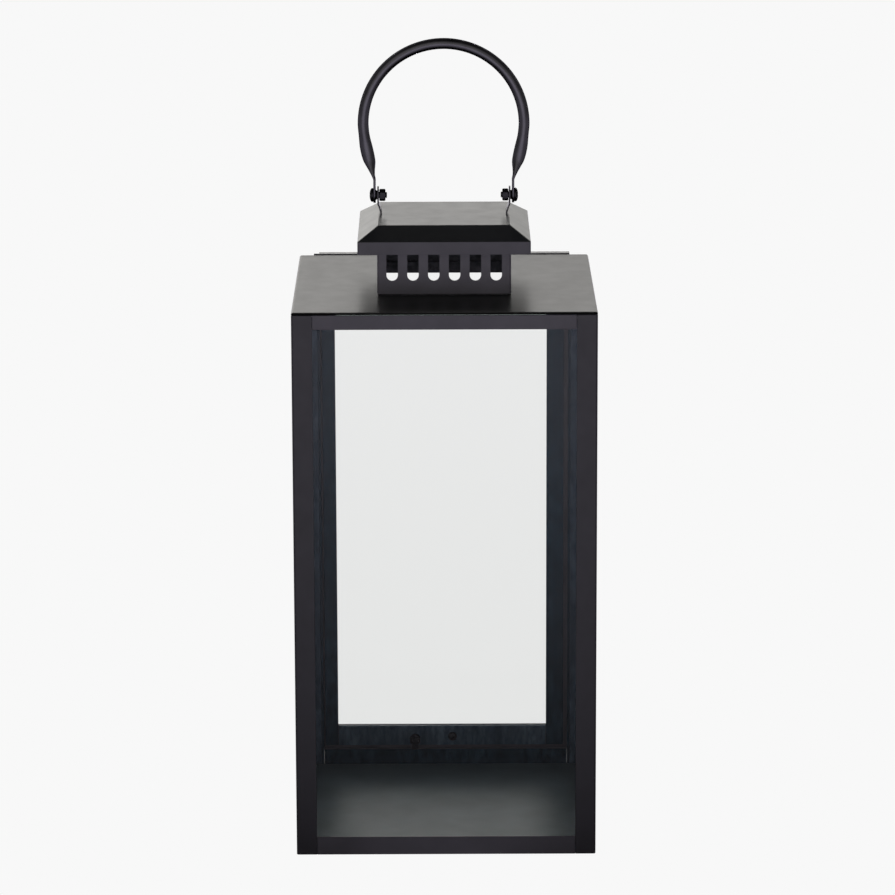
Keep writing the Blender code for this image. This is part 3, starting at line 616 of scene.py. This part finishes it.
def paper_where_seen(tree, lit):
    """Even paper where the camera looks straight or through glass, and a lit colour in all reflections."""
    path = add_node(tree, "ShaderNodeLightPath").outputs
    bounced = arithmetic(tree, "ADD", path["Diffuse Depth"], path["Glossy Depth"])
    direct = arithmetic(tree, "LESS_THAN", bounced, 0.5)
    through_glass = arithmetic(tree, "MULTIPLY", path["Is Transmission Ray"], direct)
    seen = arithmetic(tree, "MAXIMUM", path["Is Camera Ray"], through_glass)
    mix = add_node(tree, "ShaderNodeMix", data_type="RGBA")
    tree.links.new(seen, mix.inputs[0])
    tree.links.new(lit, mix.inputs[6])
    mix.inputs[7].default_value = (PAPER, PAPER, PAPER, 1.0)
    return mix.outputs[2]


def add_world():
    """A light tent: bright low at the back, dimmer to the front and right, dark overhead and beside."""
    world = bpy.data.worlds.new("light_tent")
    bpy.context.scene.world = world
    world.use_nodes = True
    tree = world.node_tree
    direction = axes_of(tree, add_node(tree, "ShaderNodeTexCoord").outputs["Generated"])
    sideways = arithmetic(tree, "ABSOLUTE", direction["X"])
    lit = ramp(tree, direction["Z"], TENT_LEVELS, TENT_TINT)
    lit = scaled_colour(tree, lit, ranged(tree, direction["Y"], *TENT_FRONT_TO_BACK))
    lit = scaled_colour(tree, lit, ranged(tree, direction["X"], *TENT_LEFT_TO_RIGHT))
    lit = scaled_colour(tree, lit, ranged(tree, sideways, *TENT_SIDES))
    tree.links.new(paper_where_seen(tree, lit), tree.nodes["Background"].inputs["Color"])


def add_floor():
    """A pale floor.  It sends less light up close to the lantern and beside it, and more from far behind."""
    rings = [rounded_ring(FLOOR_HALF, FLOOR_CORNER, z, 6) for z in (-FLOOR_THICKNESS, 0.0)]
    floor = skin("pale_floor", rings)
    material = bpy.data.materials.new("pale_floor")
    material.use_nodes = True
    tree = material.node_tree
    tree.nodes.remove(tree.nodes["Principled BSDF"])
    place = add_node(tree, "ShaderNodeNewGeometry").outputs["Position"]
    length = add_node(tree, "ShaderNodeVectorMath", operation="LENGTH")
    tree.links.new(place, length.inputs[0])
    distance = length.outputs["Value"]
    axes = axes_of(tree, place)
    slant = arithmetic(tree, "DIVIDE", arithmetic(tree, "ABSOLUTE", axes["X"]), distance)
    lit = ramp(tree, arithmetic(tree, "DIVIDE", distance, FLOOR_REACH), FLOOR_LEVELS, FLOOR_TINT)
    lit = scaled_colour(tree, lit, ranged(tree, slant, *FLOOR_SIDES))
    lit = scaled_colour(tree, lit, ranged(tree, axes["Y"], *FLOOR_BEHIND))
    emission = add_node(tree, "ShaderNodeEmission")
    tree.links.new(paper_where_seen(tree, lit), emission.inputs["Color"])
    tree.links.new(emission.outputs["Emission"], tree.nodes["Material Output"].inputs["Surface"])
    floor.data.materials.append(material)


def add_camera():
    """A long lens in front of the lantern, a little above it."""
    data = bpy.data.cameras.new("front_camera")
    data.lens = CAMERA_LENS
    data.sensor_width = CAMERA_SENSOR
    data.clip_end = CAMERA_REACH
    camera = bpy.data.objects.new("front_camera", data)
    bpy.context.scene.collection.objects.link(camera)
    turn = Matrix.Rotation(radians(CAMERA_TURN), 4, "Z")
    tilt = Matrix.Rotation(radians(CAMERA_TILT), 4, "X")
    roll = Matrix.Rotation(radians(CAMERA_ROLL), 4, "Z")
    camera.matrix_world = Matrix.Translation(CAMERA_PLACE) @ turn @ tilt @ roll
    bpy.context.scene.camera = camera


# ---------------------------------------------------------------- pieces

def sign(value):
    """1 for numbers above zero, else -1."""
    return 1 if value > 0 else -1


def faces_inward(middle, normal):
    """Whether an upright face looks towards the middle of the lantern."""
    return abs(normal.z) < 0.5 and normal.x * middle.x + normal.y * middle.y < 0


def build_posts(material, painted_light_lining):
    """Corner angles with a bent outer corner."""
    for depth_name in ("front", "rear"):
        for side_name in ("left", "right"):
            node = f"{depth_name}_{side_name}_post"
            low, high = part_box(node)
            side, depth = sign(low.x + high.x), sign(low.y + high.y)
            outer = max(abs(low.x), abs(high.x))
            leg = outer - (high.x - low.x)
            inner = outer - SHEET
            outline = [(leg, outer), (leg, inner), (inner, inner), (inner, leg), (outer, leg)]
            outline += arc((inner, inner), SHEET, 0, 90, BEND_STEPS)
            outline = [(side * across, depth * up) for across, up in outline]
            post = extrude(f"{node}_sheet", outline, "Z", low.z, high.z)
            fit(soften(post, BAR_EDGE), "powder_coat", material, node)
            # Painted reflection on the post's inward faces.
            coat_faces(post, painted_light_lining, faces_inward)


def build_rails(material, painted_light_lining):
    """Flat bars, welded tight between the posts."""
    for place in ("front", "rear", "left", "right"):
        for level in ("top", "bottom"):
            node = f"{place}_{level}_rail"
            low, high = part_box(node)
            if place in ("front", "rear"):
                axis, near, far, start, end = "X", low.y, high.y, low.x, high.x
            else:
                axis, near, far, start, end = "Y", low.x, high.x, low.y, high.y
            outline = [(near, low.z), (far, low.z), (far, high.z), (near, high.z)]
            rail = extrude(f"{node}_bar", outline, axis, start - BUTT, end + BUTT)
            fit(soften(rail, BAR_EDGE), "powder_coat", material, node)
            # Painted reflection on the rail's inward faces.
            coat_faces(rail, painted_light_lining, faces_inward)


def build_roof(material, painted_light_lining, rim_shade_coat):
    """Roof plate with a rolled rim, and the collar turned up inside the chimney."""
    low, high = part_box("roof_plate")
    half = high.x
    body_top = high.z - COLLAR_HEIGHT
    collar_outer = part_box("chimney_front")[1].x - CHIMNEY_SHEET - GAP
    collar_inner = collar_outer - CHIMNEY_SHEET
    bend = CHIMNEY_RADIUS - CHIMNEY_SHEET
    sections = [(half, SHEET, low.z)]
    for across, up in arc((half - ROOF_RIM, body_top - ROOF_RIM), ROOF_RIM, 0, 90, BEND_STEPS):
        sections.append((across, SHEET - (half - across), up))
    sections += [
        (collar_outer, bend, body_top),
        (collar_outer, bend, high.z),
        (collar_inner, bend / 2, high.z),
        (collar_inner, bend / 2, low.z),
    ]
    rings = [rounded_ring(*section) for section in sections]
    roof = flatten(skin("roof_sheet", rings, closed=True))
    fit(roof, "roof_enamel", material, "roof_plate")

    def on_collar(middle, normal):
        return middle.z > body_top + COLLAR_SLACK

    def on_rim(middle, normal):
        return abs(normal.z) < 0.5 and max(abs(middle.x), abs(middle.y)) > half - ROOF_RIM

    # Painted shade on the collar, which shows only through the gap under the chimney.
    coat_faces(roof, painted_light_lining, on_collar)
    # Painted shade on the rim's upright faces, for the dark line along the roof's edge.
    coat_faces(roof, rim_shade_coat, on_rim)


def slot_shapes(name, axis, start, end, bottom=SLOT_BOTTOM):
    """One row of round-ended slots, which run from start to end along an axis."""
    radius = SLOT_WIDTH / 2
    shapes = []
    for slot in range(SLOT_COUNT):
        middle = (slot - (SLOT_COUNT - 1) / 2) * SLOT_PITCH
        outline = arc((middle, SLOT_TOP - radius), radius, 0, 180, CUT_STEPS)
        outline += arc((middle, bottom + radius), radius, 180, 360, CUT_STEPS)
        shapes.append(extrude(f"{name}_{slot}", outline, axis, start, end))
    return shapes


def build_chimney(material, painted_light_lining):
    """Folded square shell with a row of slots in each wall."""
    low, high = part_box("chimney_front")
    half = high.x
    inner = half - CHIMNEY_SHEET
    bend = CHIMNEY_RADIUS
    sections = [(half, bend, low.z), (half, bend, high.z),
                (inner, bend - CHIMNEY_SHEET, high.z), (inner, bend - CHIMNEY_SHEET, low.z)]
    shell = skin("chimney_shell", [rounded_ring(*section) for section in sections], closed=True)
    reach = half + CUT_REACH
    slots = slot_shapes("side_slot", "X", -reach, reach)
    slots += slot_shapes("front_slot", "Y", -reach, 0.0)
    slots += slot_shapes("rear_slot", "Y", 0.0, reach, REAR_SLOT_BOTTOM)
    carve(shell, slots)
    soften(shell, SLOT_EDGE, 2)
    # Painted light: the chimney's coat is a lighter copy of the posts' coat.
    fit(shell, "powder_coat", material, "chimney_front", "chimney_rear", "chimney_left", "chimney_right")

    def inside_wall(middle, normal):
        return max(abs(middle.x), abs(middle.y)) < inner + LINING_SLACK

    # Painted shade on the walls' inside faces.
    coat_faces(shell, painted_light_lining, inside_wall)


def build_cap(material, painted_light_lining, skirt_lit_coat):
    """Hipped cap with soft bends: skirt, slopes and flat top of one thin sheet."""
    low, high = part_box("cap")
    half = high.x
    skirt_high = low.z + CAP_SKIRT
    slope = (high.z - skirt_high) / (half - CAP_FLAT_HALF)
    drop = CAP_SHEET * sqrt(1 + slope * slope)
    inner_half = half - CAP_SHEET
    inner_flat = CAP_FLAT_HALF - (drop - CAP_SHEET) / slope
    outside = [(half, low.z), (half, skirt_high), (CAP_FLAT_HALF, high.z), (CAP_FLAT_HALF - CAP_RUN, high.z)]
    inside = [(inner_half, low.z), (inner_half, skirt_high - drop + slope * CAP_SHEET),
              (inner_flat, high.z - CAP_SHEET)]
    sections = [(across, CAP_BEND, up) for across, up in fillet(outside, CAP_BEND)[::-1]]
    sections += [(across, CAP_BEND / 2, up) for across, up in inside]
    cap = skin("cap_shell", [rounded_ring(*section) for section in sections])
    soften(cap, THIN_EDGE, 2)
    fit(cap, "roof_enamel", material, "cap")
    half_sheet = CAP_SHEET / 2

    def underneath(middle, normal):
        looks_in = normal.dot(Vector((middle.x, middle.y, 0.0))) < 0
        return normal.z < -0.1 or (looks_in and middle.z < high.z - half_sheet)

    def on_skirt(middle, normal):
        return abs(normal.z) < 0.2 and max(abs(middle.x), abs(middle.y)) > inner_half + half_sheet

    # Painted shade on the cap's underside and inner faces.
    coat_faces(cap, painted_light_lining, underneath)
    # Painted light: the skirt takes the lighter rail coat instead of the cap's own enamel.
    coat_faces(cap, skirt_lit_coat, on_skirt)


def smoothstep(low, high, value):
    """0 below low, 1 above high, and a smooth ramp between them."""
    ratio = min(max((value - low) / (high - low), 0.0), 1.0)
    return ratio * ratio * (3 - 2 * ratio)


def bail_section(place, normal, half_thickness, half_width, squareness):
    """One section of the bail: a circle where it is a tube, and a flat strip where it is pressed."""
    power = CIRCLE / squareness
    ring = []
    for step in range(SECTION_STEPS):
        angle = 2 * pi * (step + 0.5) / SECTION_STEPS
        thick = half_thickness * abs(cos(angle)) ** power * sign(cos(angle))
        wide = half_width * abs(sin(angle)) ** power * sign(sin(angle))
        ring.append((place[0] + normal[0] * thick, wide, place[1] + normal[1] * thick))
    return ring


def joint_place(name):
    """A point on a joint's axis."""
    return next(joint for joint in frame["joints"] if joint["name"] == name)["pos_m"]


def build_bail(material):
    """Round handle with flattened, drilled ends."""
    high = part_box("bail_handle")[1]
    tube_radius = high.x - ARC_RADIUS
    arc_z = high.z - high.x
    pivot_z = joint_place("bail_swing")[2]
    tab_top = pivot_z + TAB_RISE
    round_z = pivot_z + ROUND_RISE

    def leg(z):
        rise = min(max((z - tab_top) / (arc_z - tab_top), 0.0), 1.0)
        centre_x = TAB_X + (ARC_RADIUS - TAB_X) * (1 - (1 - rise) ** LEG_CURVE)
        tube = smoothstep(tab_top, round_z, z)
        start, full, fade, end = (pivot_z + height for height in BULGE_RISE)
        swell = BULGE * smoothstep(start, full, z) * (1 - smoothstep(fade, end, z))
        thickness = TAB_HALF_THICKNESS + (tube_radius - TAB_HALF_THICKNESS) * tube + swell
        width = TAB_HALF_WIDTH + (tube_radius - TAB_HALF_WIDTH) * tube - swell / 2
        if z < pivot_z:
            width = sqrt(TAB_HALF_WIDTH ** 2 - (pivot_z - z) ** 2)
        return centre_x, (thickness, width, CIRCLE + STRIP_SQUARENESS * (1 - tube) ** 2)

    heights = [arc_z - (arc_z - tab_top) * step / LEG_STEPS for step in range(1, LEG_STEPS + 1)]
    heights += [pivot_z + rise for rise in TAB_SECTIONS]
    round_end = asin(TAB_END_DEPTH)
    heights += [pivot_z - TAB_HALF_WIDTH * sin(round_end * step / TAB_STEPS) for step in range(TAB_STEPS + 1)]
    legs = {-1: [], 1: []}
    for z in heights:
        centre_x, section = leg(z)
        for side, rings in legs.items():
            rings.append(bail_section((side * centre_x, z), (side, 0.0), *section))
    top = []
    for step in range(ARC_STEPS + 1):
        angle = pi - pi * step / ARC_STEPS
        outward = (cos(angle), sin(angle))
        place = (ARC_RADIUS * outward[0], arc_z + ARC_RADIUS * outward[1])
        top.append(bail_section(place, outward, tube_radius, tube_radius, CIRCLE))
    bail = skin("bail_bar", legs[-1][::-1] + top + legs[1], angle=SMOOTH)
    drills = []
    for side in (-1, 1):
        ends = [(side * TAB_X - CUT_REACH, BORE), (side * TAB_X + CUT_REACH, BORE)]
        drills.append(lathe(f"bail_drill_{side}", ends, "X", (0.0, pivot_z)))
    carve(bail, drills, angle=SMOOTH)
    fit(bail, "powder_coat", material, "bail_handle")


def thread(start, end, radius):
    """Profile of a threaded shank, from start to end along its axis."""
    count = max(int(abs(end - start) / THREAD_PITCH), 1)
    profile = []
    for turn in range(count):
        profile.append((start + (end - start) * turn / count, radius - THREAD_DEPTH))
        profile.append((start + (end - start) * (turn + 0.5) / count, radius))
    return profile


def domed_head(start, rim, height, radius, side):
    """Profile of a low domed head that starts at one place along the axis."""
    profile = [(start, radius), (start + side * rim, radius)]
    for along, across in arc((0.0, 0.0), 1.0, 90, 12, 7)[1:]:
        profile.append((start + side * (rim + (height - rim) * along), radius * across))
    return profile


def cross_recess(name, axis, centre, top, size, side):
    """Two crossed wedges, for the recess in the top of a screw head."""
    depth, half_length = size
    start = top + side * RECESS_LEAD
    shapes = []
    for index, (wide, tall) in enumerate(((1.0, RECESS_ARM), (RECESS_ARM, 1.0))):
        rings = []
        for along, grow in ((start, 1.0), (start - side * depth, RECESS_TAPER)):
            across = half_length * wide * grow
            up = half_length * tall * grow
            corners = [(-across, -up), (across, -up), (across, up), (-across, up)]
            rings.append([to_space(axis, centre[0] + x, centre[1] + z, along) for x, z in corners])
        shapes.append(skin(f"{name}_{index}", rings))
    return shapes


def hex_nut(name, axis, centre, start, end):
    """A hexagon nut with chamfered corners and a countersunk bore."""
    chamfer = NUT_CHAMFER * sign(end - start)
    profile = [
        (start + chamfer / 2, BORE), (start, BORE + abs(chamfer) / 2), (start, NUT_HALF_FLATS),
        (start + chamfer, NUT_HALF_FLATS, 6), (end - chamfer, NUT_HALF_FLATS, 6),
        (end, NUT_HALF_FLATS), (end, BORE + abs(chamfer) / 2), (end - chamfer / 2, BORE),
    ]
    return flatten(lathe(name, profile, axis, centre, 72, closed=True, angle=22.0))


def build_lug(name, pivot_z, coat):
    """A strip that stands on the cap, leans out to the bail and ends in a round top."""
    low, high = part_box(f"{name}_lug")
    side = sign(low.x)
    outer_top = max(abs(low.x), abs(high.x))
    half_width = high.y
    bends = [pivot_z - drop for drop in LUG_BEND_DROP]
    levels = [(low.z, 0.0)]
    for bend in bends:
        levels += [(bend + share * LUG_BEND_HALF, 0.0) for share in (-1.0, -0.5, 0.0, 0.5, 1.0)]
    for step in range(CUT_STEPS + 1):
        angle = radians(LUG_TOP_TURN * step / CUT_STEPS)
        levels.append((pivot_z + half_width * sin(angle), angle))
    rings = []
    for z, angle in levels:
        lean = smoothstep(bends[0] - LUG_BEND_HALF, bends[1] + LUG_BEND_HALF, z)
        outer = side * (outer_top - LUG_LEAN * (1 - lean))
        inner = outer - side * LUG_SHEET
        reach = half_width * cos(angle)
        rings.append([(inner, -reach, z), (outer, -reach, z), (outer, reach, z), (inner, reach, z)])
    lug = skin(f"{name}_lug_sheet", rings, angle=SMOOTH)
    middle = side * (outer_top - LUG_SHEET / 2)
    ends = [(middle - LUG_DRILL_REACH, BORE), (middle + LUG_DRILL_REACH, BORE)]
    carve(lug, [lathe(f"{name}_lug_drill", ends, "X", (0.0, pivot_z))], angle=SMOOTH)
    fit(soften(lug, THIN_EDGE, 2), "powder_coat", coat, f"{name}_lug")


def build_pivots(coat, steel):
    """Lugs on the cap, and the screws and nuts that the handle turns on."""
    pivot_z = joint_place("bail_swing")[2]
    centre = (0.0, pivot_z)
    for name in ("left", "right"):
        build_lug(name, pivot_z, coat)
        low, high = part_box(f"{name}_pivot_screw")
        side = sign(low.x)
        tip, top = (low.x, high.x) if side > 0 else (high.x, low.x)
        head_start = side * (TAB_X + TAB_HALF_THICKNESS + GAP)
        nut_low, nut_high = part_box(f"{name}_pivot_nut")
        nut_start, nut_end = (nut_high.x, nut_low.x) if side > 0 else (nut_low.x, nut_high.x)
        profile = [(tip, SHANK_TIP)] + thread(tip + side * TIP_LENGTH, nut_start, SHANK)
        profile.append((nut_start, SHANK))
        profile += domed_head(head_start, HEAD_RIM, abs(top - head_start), HEAD_RADIUS, side)
        screw = lathe(f"{name}_pivot_bolt", profile, "X", centre, SCREW_STEPS, angle=50.0)
        carve(screw, cross_recess(f"{name}_recess", "X", centre, top, PIVOT_RECESS, side), angle=SMOOTH)
        fit(screw, "black_fastener", steel, f"{name}_pivot_screw")
        nut = hex_nut(f"{name}_pivot_hexagon", "X", centre, nut_start, nut_end)
        fit(nut, "black_fastener", steel, f"{name}_pivot_nut")


def build_door_panel(material):
    """Door plate with a window, two drilled holes, and its top edge folded back."""
    low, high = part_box("door_plate")
    outer_y = low.y + SHEET

    def frame_ring(left, right, bottom, top, y):
        return [(left, y, bottom), (right, y, bottom), (right, y, top), (left, y, top)]

    edge = (low.x, high.x, low.z, high.z)
    rings = [frame_ring(*edge, low.y), frame_ring(*edge, outer_y),
             frame_ring(*WINDOW, outer_y), frame_ring(*WINDOW, low.y)]
    panel = skin("door_panel", rings, closed=True)
    middle_y = (low.y + outer_y) / 2
    fold = [(middle_y, high.z - SHEET), (high.y, high.z - SHEET), (high.y, high.z), (middle_y, high.z)]
    carve(panel, [extrude("door_fold", fold, "X", FLANGE_LEFT, high.x)], "UNION")
    drills = []
    for node, radius in (("latch_nut", BORE), ("knob_screw", KNOB_SHANK + GAP)):
        node_low, node_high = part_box(node)
        centre = ((node_low.x + node_high.x) / 2, (node_low.z + node_high.z) / 2)
        ends = [(low.y - SHEET, radius), (outer_y + SHEET, radius)]
        drills.append(lathe(f"{node}_door_drill", ends, "Y", centre))
    carve(panel, drills)
    fit(soften(panel, BAR_EDGE), "powder_coat", material, "door_plate")


def rivet_heads(name, x, y, heights):
    """Low domes on the face of a leaf, sunk a little into it."""
    heads = []
    for index, z in enumerate(heights):
        profile = [(y - RIVET_SINK, RIVET_RADIUS)]
        for along, across in arc((0.0, 0.0), 1.0, 90, 10, 6):
            profile.append((y + RIVET_HEIGHT * along, RIVET_RADIUS * across))
        heads.append(lathe(f"{name}_rivet_{index}", profile, "Y", (x, z), 24, angle=60.0))
    return heads


def riveted_leaf(node, low, high, outline, rivet_x, face, coat):
    """A hinge leaf with one outline over its height, and two rivets on its outer face."""
    leaf = extrude(f"{node}_rolled", outline, "Z", low.z, high.z)
    heights = (low.z + RIVET_MARGIN, high.z - RIVET_MARGIN)
    carve(leaf, rivet_heads(node, rivet_x, face, heights), "UNION")
    fit(leaf, "powder_coat", coat, node)


def build_hinges(coat):
    """Leaves rolled around a pin, riveted to the post and to the door."""
    for level in ("lower", "upper"):
        node = f"{level}_hinge_frame_leaf"
        low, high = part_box(node)
        radius = (high.y - low.y) / 2
        hinge = (high.x - radius, low.y + radius)
        pin_low, pin_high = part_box(f"{level}_hinge_pin")
        bore = (pin_high.x - pin_low.x) / 2 - PIN_HEAD_LAP
        outer_face = low.y + radius - bore
        outline = [(low.x, low.y)] + arc(hinge, radius, -90, 200, ROLL_STEPS)
        outline += arc(hinge, bore, 200, -90, ROLL_STEPS) + [(low.x, outer_face)]
        rivet_x = (low.x + hinge[0] - radius) / 2
        riveted_leaf(node, low, high, outline, rivet_x, outer_face, coat)

        node = f"{level}_hinge_door_leaf"
        low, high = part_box(node)
        step_in, step_out = (hinge[0] + rise for rise in DOOR_HINGE_RISE)
        face = hinge[1] - GAP - LEAF_PLAY
        outer_face = face + radius - bore
        outline = [(high.x, outer_face), (step_out, outer_face), (step_in, hinge[1] + radius)]
        outline += arc(hinge, radius, 90, 340, ROLL_STEPS) + arc(hinge, bore, 340, 90, ROLL_STEPS)
        outline += [(step_in, hinge[1] + bore), (step_out, face), (high.x, face)]
        riveted_leaf(node, low, high, outline, (step_out + high.x) / 2, outer_face, coat)


def stadium(centre, radius, reach, y):
    """An upright round-ended outline, at one depth."""
    outline = arc((centre[0], centre[1] + reach), radius, 0, 180, CUT_STEPS)
    outline += arc((centre[0], centre[1] - reach), radius, 180, 360, CUT_STEPS)
    return [(x, y, z) for x, z in outline]


def build_latch(steel):
    """Thumb turn with its threaded spindle, and the nut behind the tongue."""
    low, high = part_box("latch_thumb_turn")
    pivot = joint_place("latch_turn")
    centre = (pivot[0], pivot[2])
    start = pivot[1] + SHEET + GAP
    radius = (high.x - low.x) / 2
    reach = (high.z - low.z) / 2 - radius
    rings = [stadium(centre, radius - WING_FOOT, reach, start)]
    rings.append(stadium(centre, radius, reach, start + WING_FOOT))
    for along, inset in arc((high.y - WING_ROUND, WING_ROUND), WING_ROUND, 270, 360, 7):
        rings.append(stadium(centre, radius - inset, reach, along))
    wing = skin("thumb_turn", rings, angle=SMOOTH)
    nut_low, nut_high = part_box("latch_nut")
    profile = [(low.y, SHANK_TIP)] + thread(low.y + TIP_LENGTH, nut_high.y, SHANK)
    profile += [(nut_high.y, SHANK), (start + SPINDLE_LAP, SHANK)]
    carve(wing, [lathe("thumb_spindle", profile, "Y", centre, SCREW_STEPS, angle=50.0)], "UNION", SMOOTH)
    fit(wing, "black_fastener", steel, "latch_thumb_turn")
    nut = hex_nut("latch_hexagon", "Y", centre, nut_high.y, nut_low.y)
    fit(nut, "black_fastener", steel, "latch_nut")


def build_knob(steel):
    """Turned pull knob, and the domed screw that holds it from inside."""
    low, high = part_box("pull_knob")
    radius = (high.x - low.x) / 2
    centre = ((low.x + high.x) / 2, (low.z + high.z) / 2)
    bore = KNOB_SHANK + GAP
    bore_end = low.y + KNOB_BORE_DEPTH
    foot_height, foot_radius = KNOB_FOOT
    neck_start, neck_radius = KNOB_NECK
    profile = [(bore_end, bore / 2), (bore_end, bore), (low.y, bore), (low.y, foot_radius),
               (low.y + foot_height, foot_radius), (low.y + neck_start, neck_radius)]
    head_start = low.y + KNOB_HEAD_START
    head_middle = (head_start + high.y) / 2
    head_half = (high.y - head_start) / 2
    for angle in range(-72, 91, 9):
        along = head_middle + head_half * sin(radians(angle))
        across = radius * abs(cos(radians(angle))) ** KNOB_FULLNESS
        profile.append((along, max(across, KNOB_CROWN)))
    knob = lathe("pull_knob_turned", profile, "Y", centre, 64, angle=45.0)
    fit(knob, "black_fastener", steel, "pull_knob")

    low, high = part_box("knob_screw")
    under_head = low.y + KNOB_SCREW_RISE
    plain_end = under_head + KNOB_SCREW_PLAIN
    profile = [(high.y, KNOB_SHANK_TIP)] + thread(high.y - TIP_LENGTH, plain_end, KNOB_SHANK)
    profile += [(plain_end, KNOB_SHANK), (under_head, KNOB_SHANK)]
    profile += domed_head(under_head, HEAD_RIM, under_head - low.y, KNOB_SCREW_HEAD, -1)
    screw = lathe("knob_bolt", profile, "Y", centre, SCREW_STEPS, angle=50.0)
    carve(screw, cross_recess("knob_recess", "Y", centre, low.y, KNOB_RECESS, -1), angle=SMOOTH)
    fit(screw, "black_fastener", steel, "knob_screw")


def dress_cad(nodes, material):
    """Give CAD nodes whose shape is right a finished material."""
    for node in nodes:
        for material_slot in frame["nodes"][node].material_slots:
            material_slot.material = material


def main():
    """The camera and stage, then every piece with its finish."""
    post_coat = powder_coat("post_powder_coat", POST_BLACK)
    # The rail and chimney coats are lighter copies of the post coat: painted light.
    rail_lit_coat = powder_coat("rail_powder_coat", RAIL_LIT_BLACK)
    chimney_lit_coat = powder_coat("chimney_powder_coat", CHIMNEY_LIT_BLACK)
    roof_coat = enamel("roof_enamel_coat", ROOF_BLACK, 0.40, ior=1.7, grain=0.62)
    cap_coat = enamel("cap_enamel_coat", CAP_BLACK, 0.30, ior=1.55, grain=0.85)
    # Painted shade on the roof's rim: near black with little gloss.
    rim_shade_coat = enamel("rim_enamel_coat", RIM_SHADE_BLACK, 0.45, ior=1.15)
    # Painted reflection on the floor plate: a light blue-grey base with a weak gloss.
    floor_plate_reflection_coat = enamel("floor_plate_coat", FLOOR_PLATE_REFLECTION_GREY, 0.42, ior=1.25)
    # Painted reflection: blue-grey for the inside faces, lighter blue for the glass strips.
    inside = painted_reflection_coat("inner_bar_coat", *INNER_REFLECTION_BLUES)
    strip_reflection_coat = painted_reflection_coat("glass_strip_coat", *STRIP_REFLECTION_BLUES)
    steel = fastener_black("black_oxide")
    # Painted shade for the inside of the vent, the collar and the cap's underside.
    vent_shade = vent_shade_black("vent_soot")
    handle_coat = bar_coat("handle_bar_coat", HANDLE_GREY)
    add_camera()
    add_world()
    add_floor()
    build_posts(post_coat, inside)
    build_rails(rail_lit_coat, inside)
    build_roof(roof_coat, vent_shade, rim_shade_coat)
    build_chimney(chimney_lit_coat, vent_shade)
    # The cap's skirt takes the lighter rail coat: painted light.
    build_cap(cap_coat, vent_shade, rail_lit_coat)
    build_bail(handle_coat)
    build_pivots(rail_lit_coat, steel)
    build_door_panel(rail_lit_coat)
    build_hinges(rail_lit_coat)
    build_latch(steel)
    build_knob(steel)
    dress_cad(["floor_plate"], floor_plate_reflection_coat)
    strips = [f"{depth}_{side}_glass_strip" for depth in ("front", "rear") for side in ("left", "right")]
    # Painted reflection on the glass strips and the bottom door liner.
    dress_cad(strips + ["door_liner_bottom"], strip_reflection_coat)
    # Painted reflection on the side and top door liners.
    dress_cad([f"door_liner_{place}" for place in ("left", "right", "top")], inside)
    dress_cad(["lower_hinge_pin", "upper_hinge_pin", "latch_tongue"], steel)
    dress_cad(["front_glass"], window_glass("front_pane_glass", "Y"))
    dress_cad(["door_glass"], window_glass("door_pane_glass", "Y"))
    dress_cad(["left_glass", "right_glass"], window_glass("side_pane_glass", "X"))
    bpy.context.scene.view_settings.view_transform = "Standard"


main()
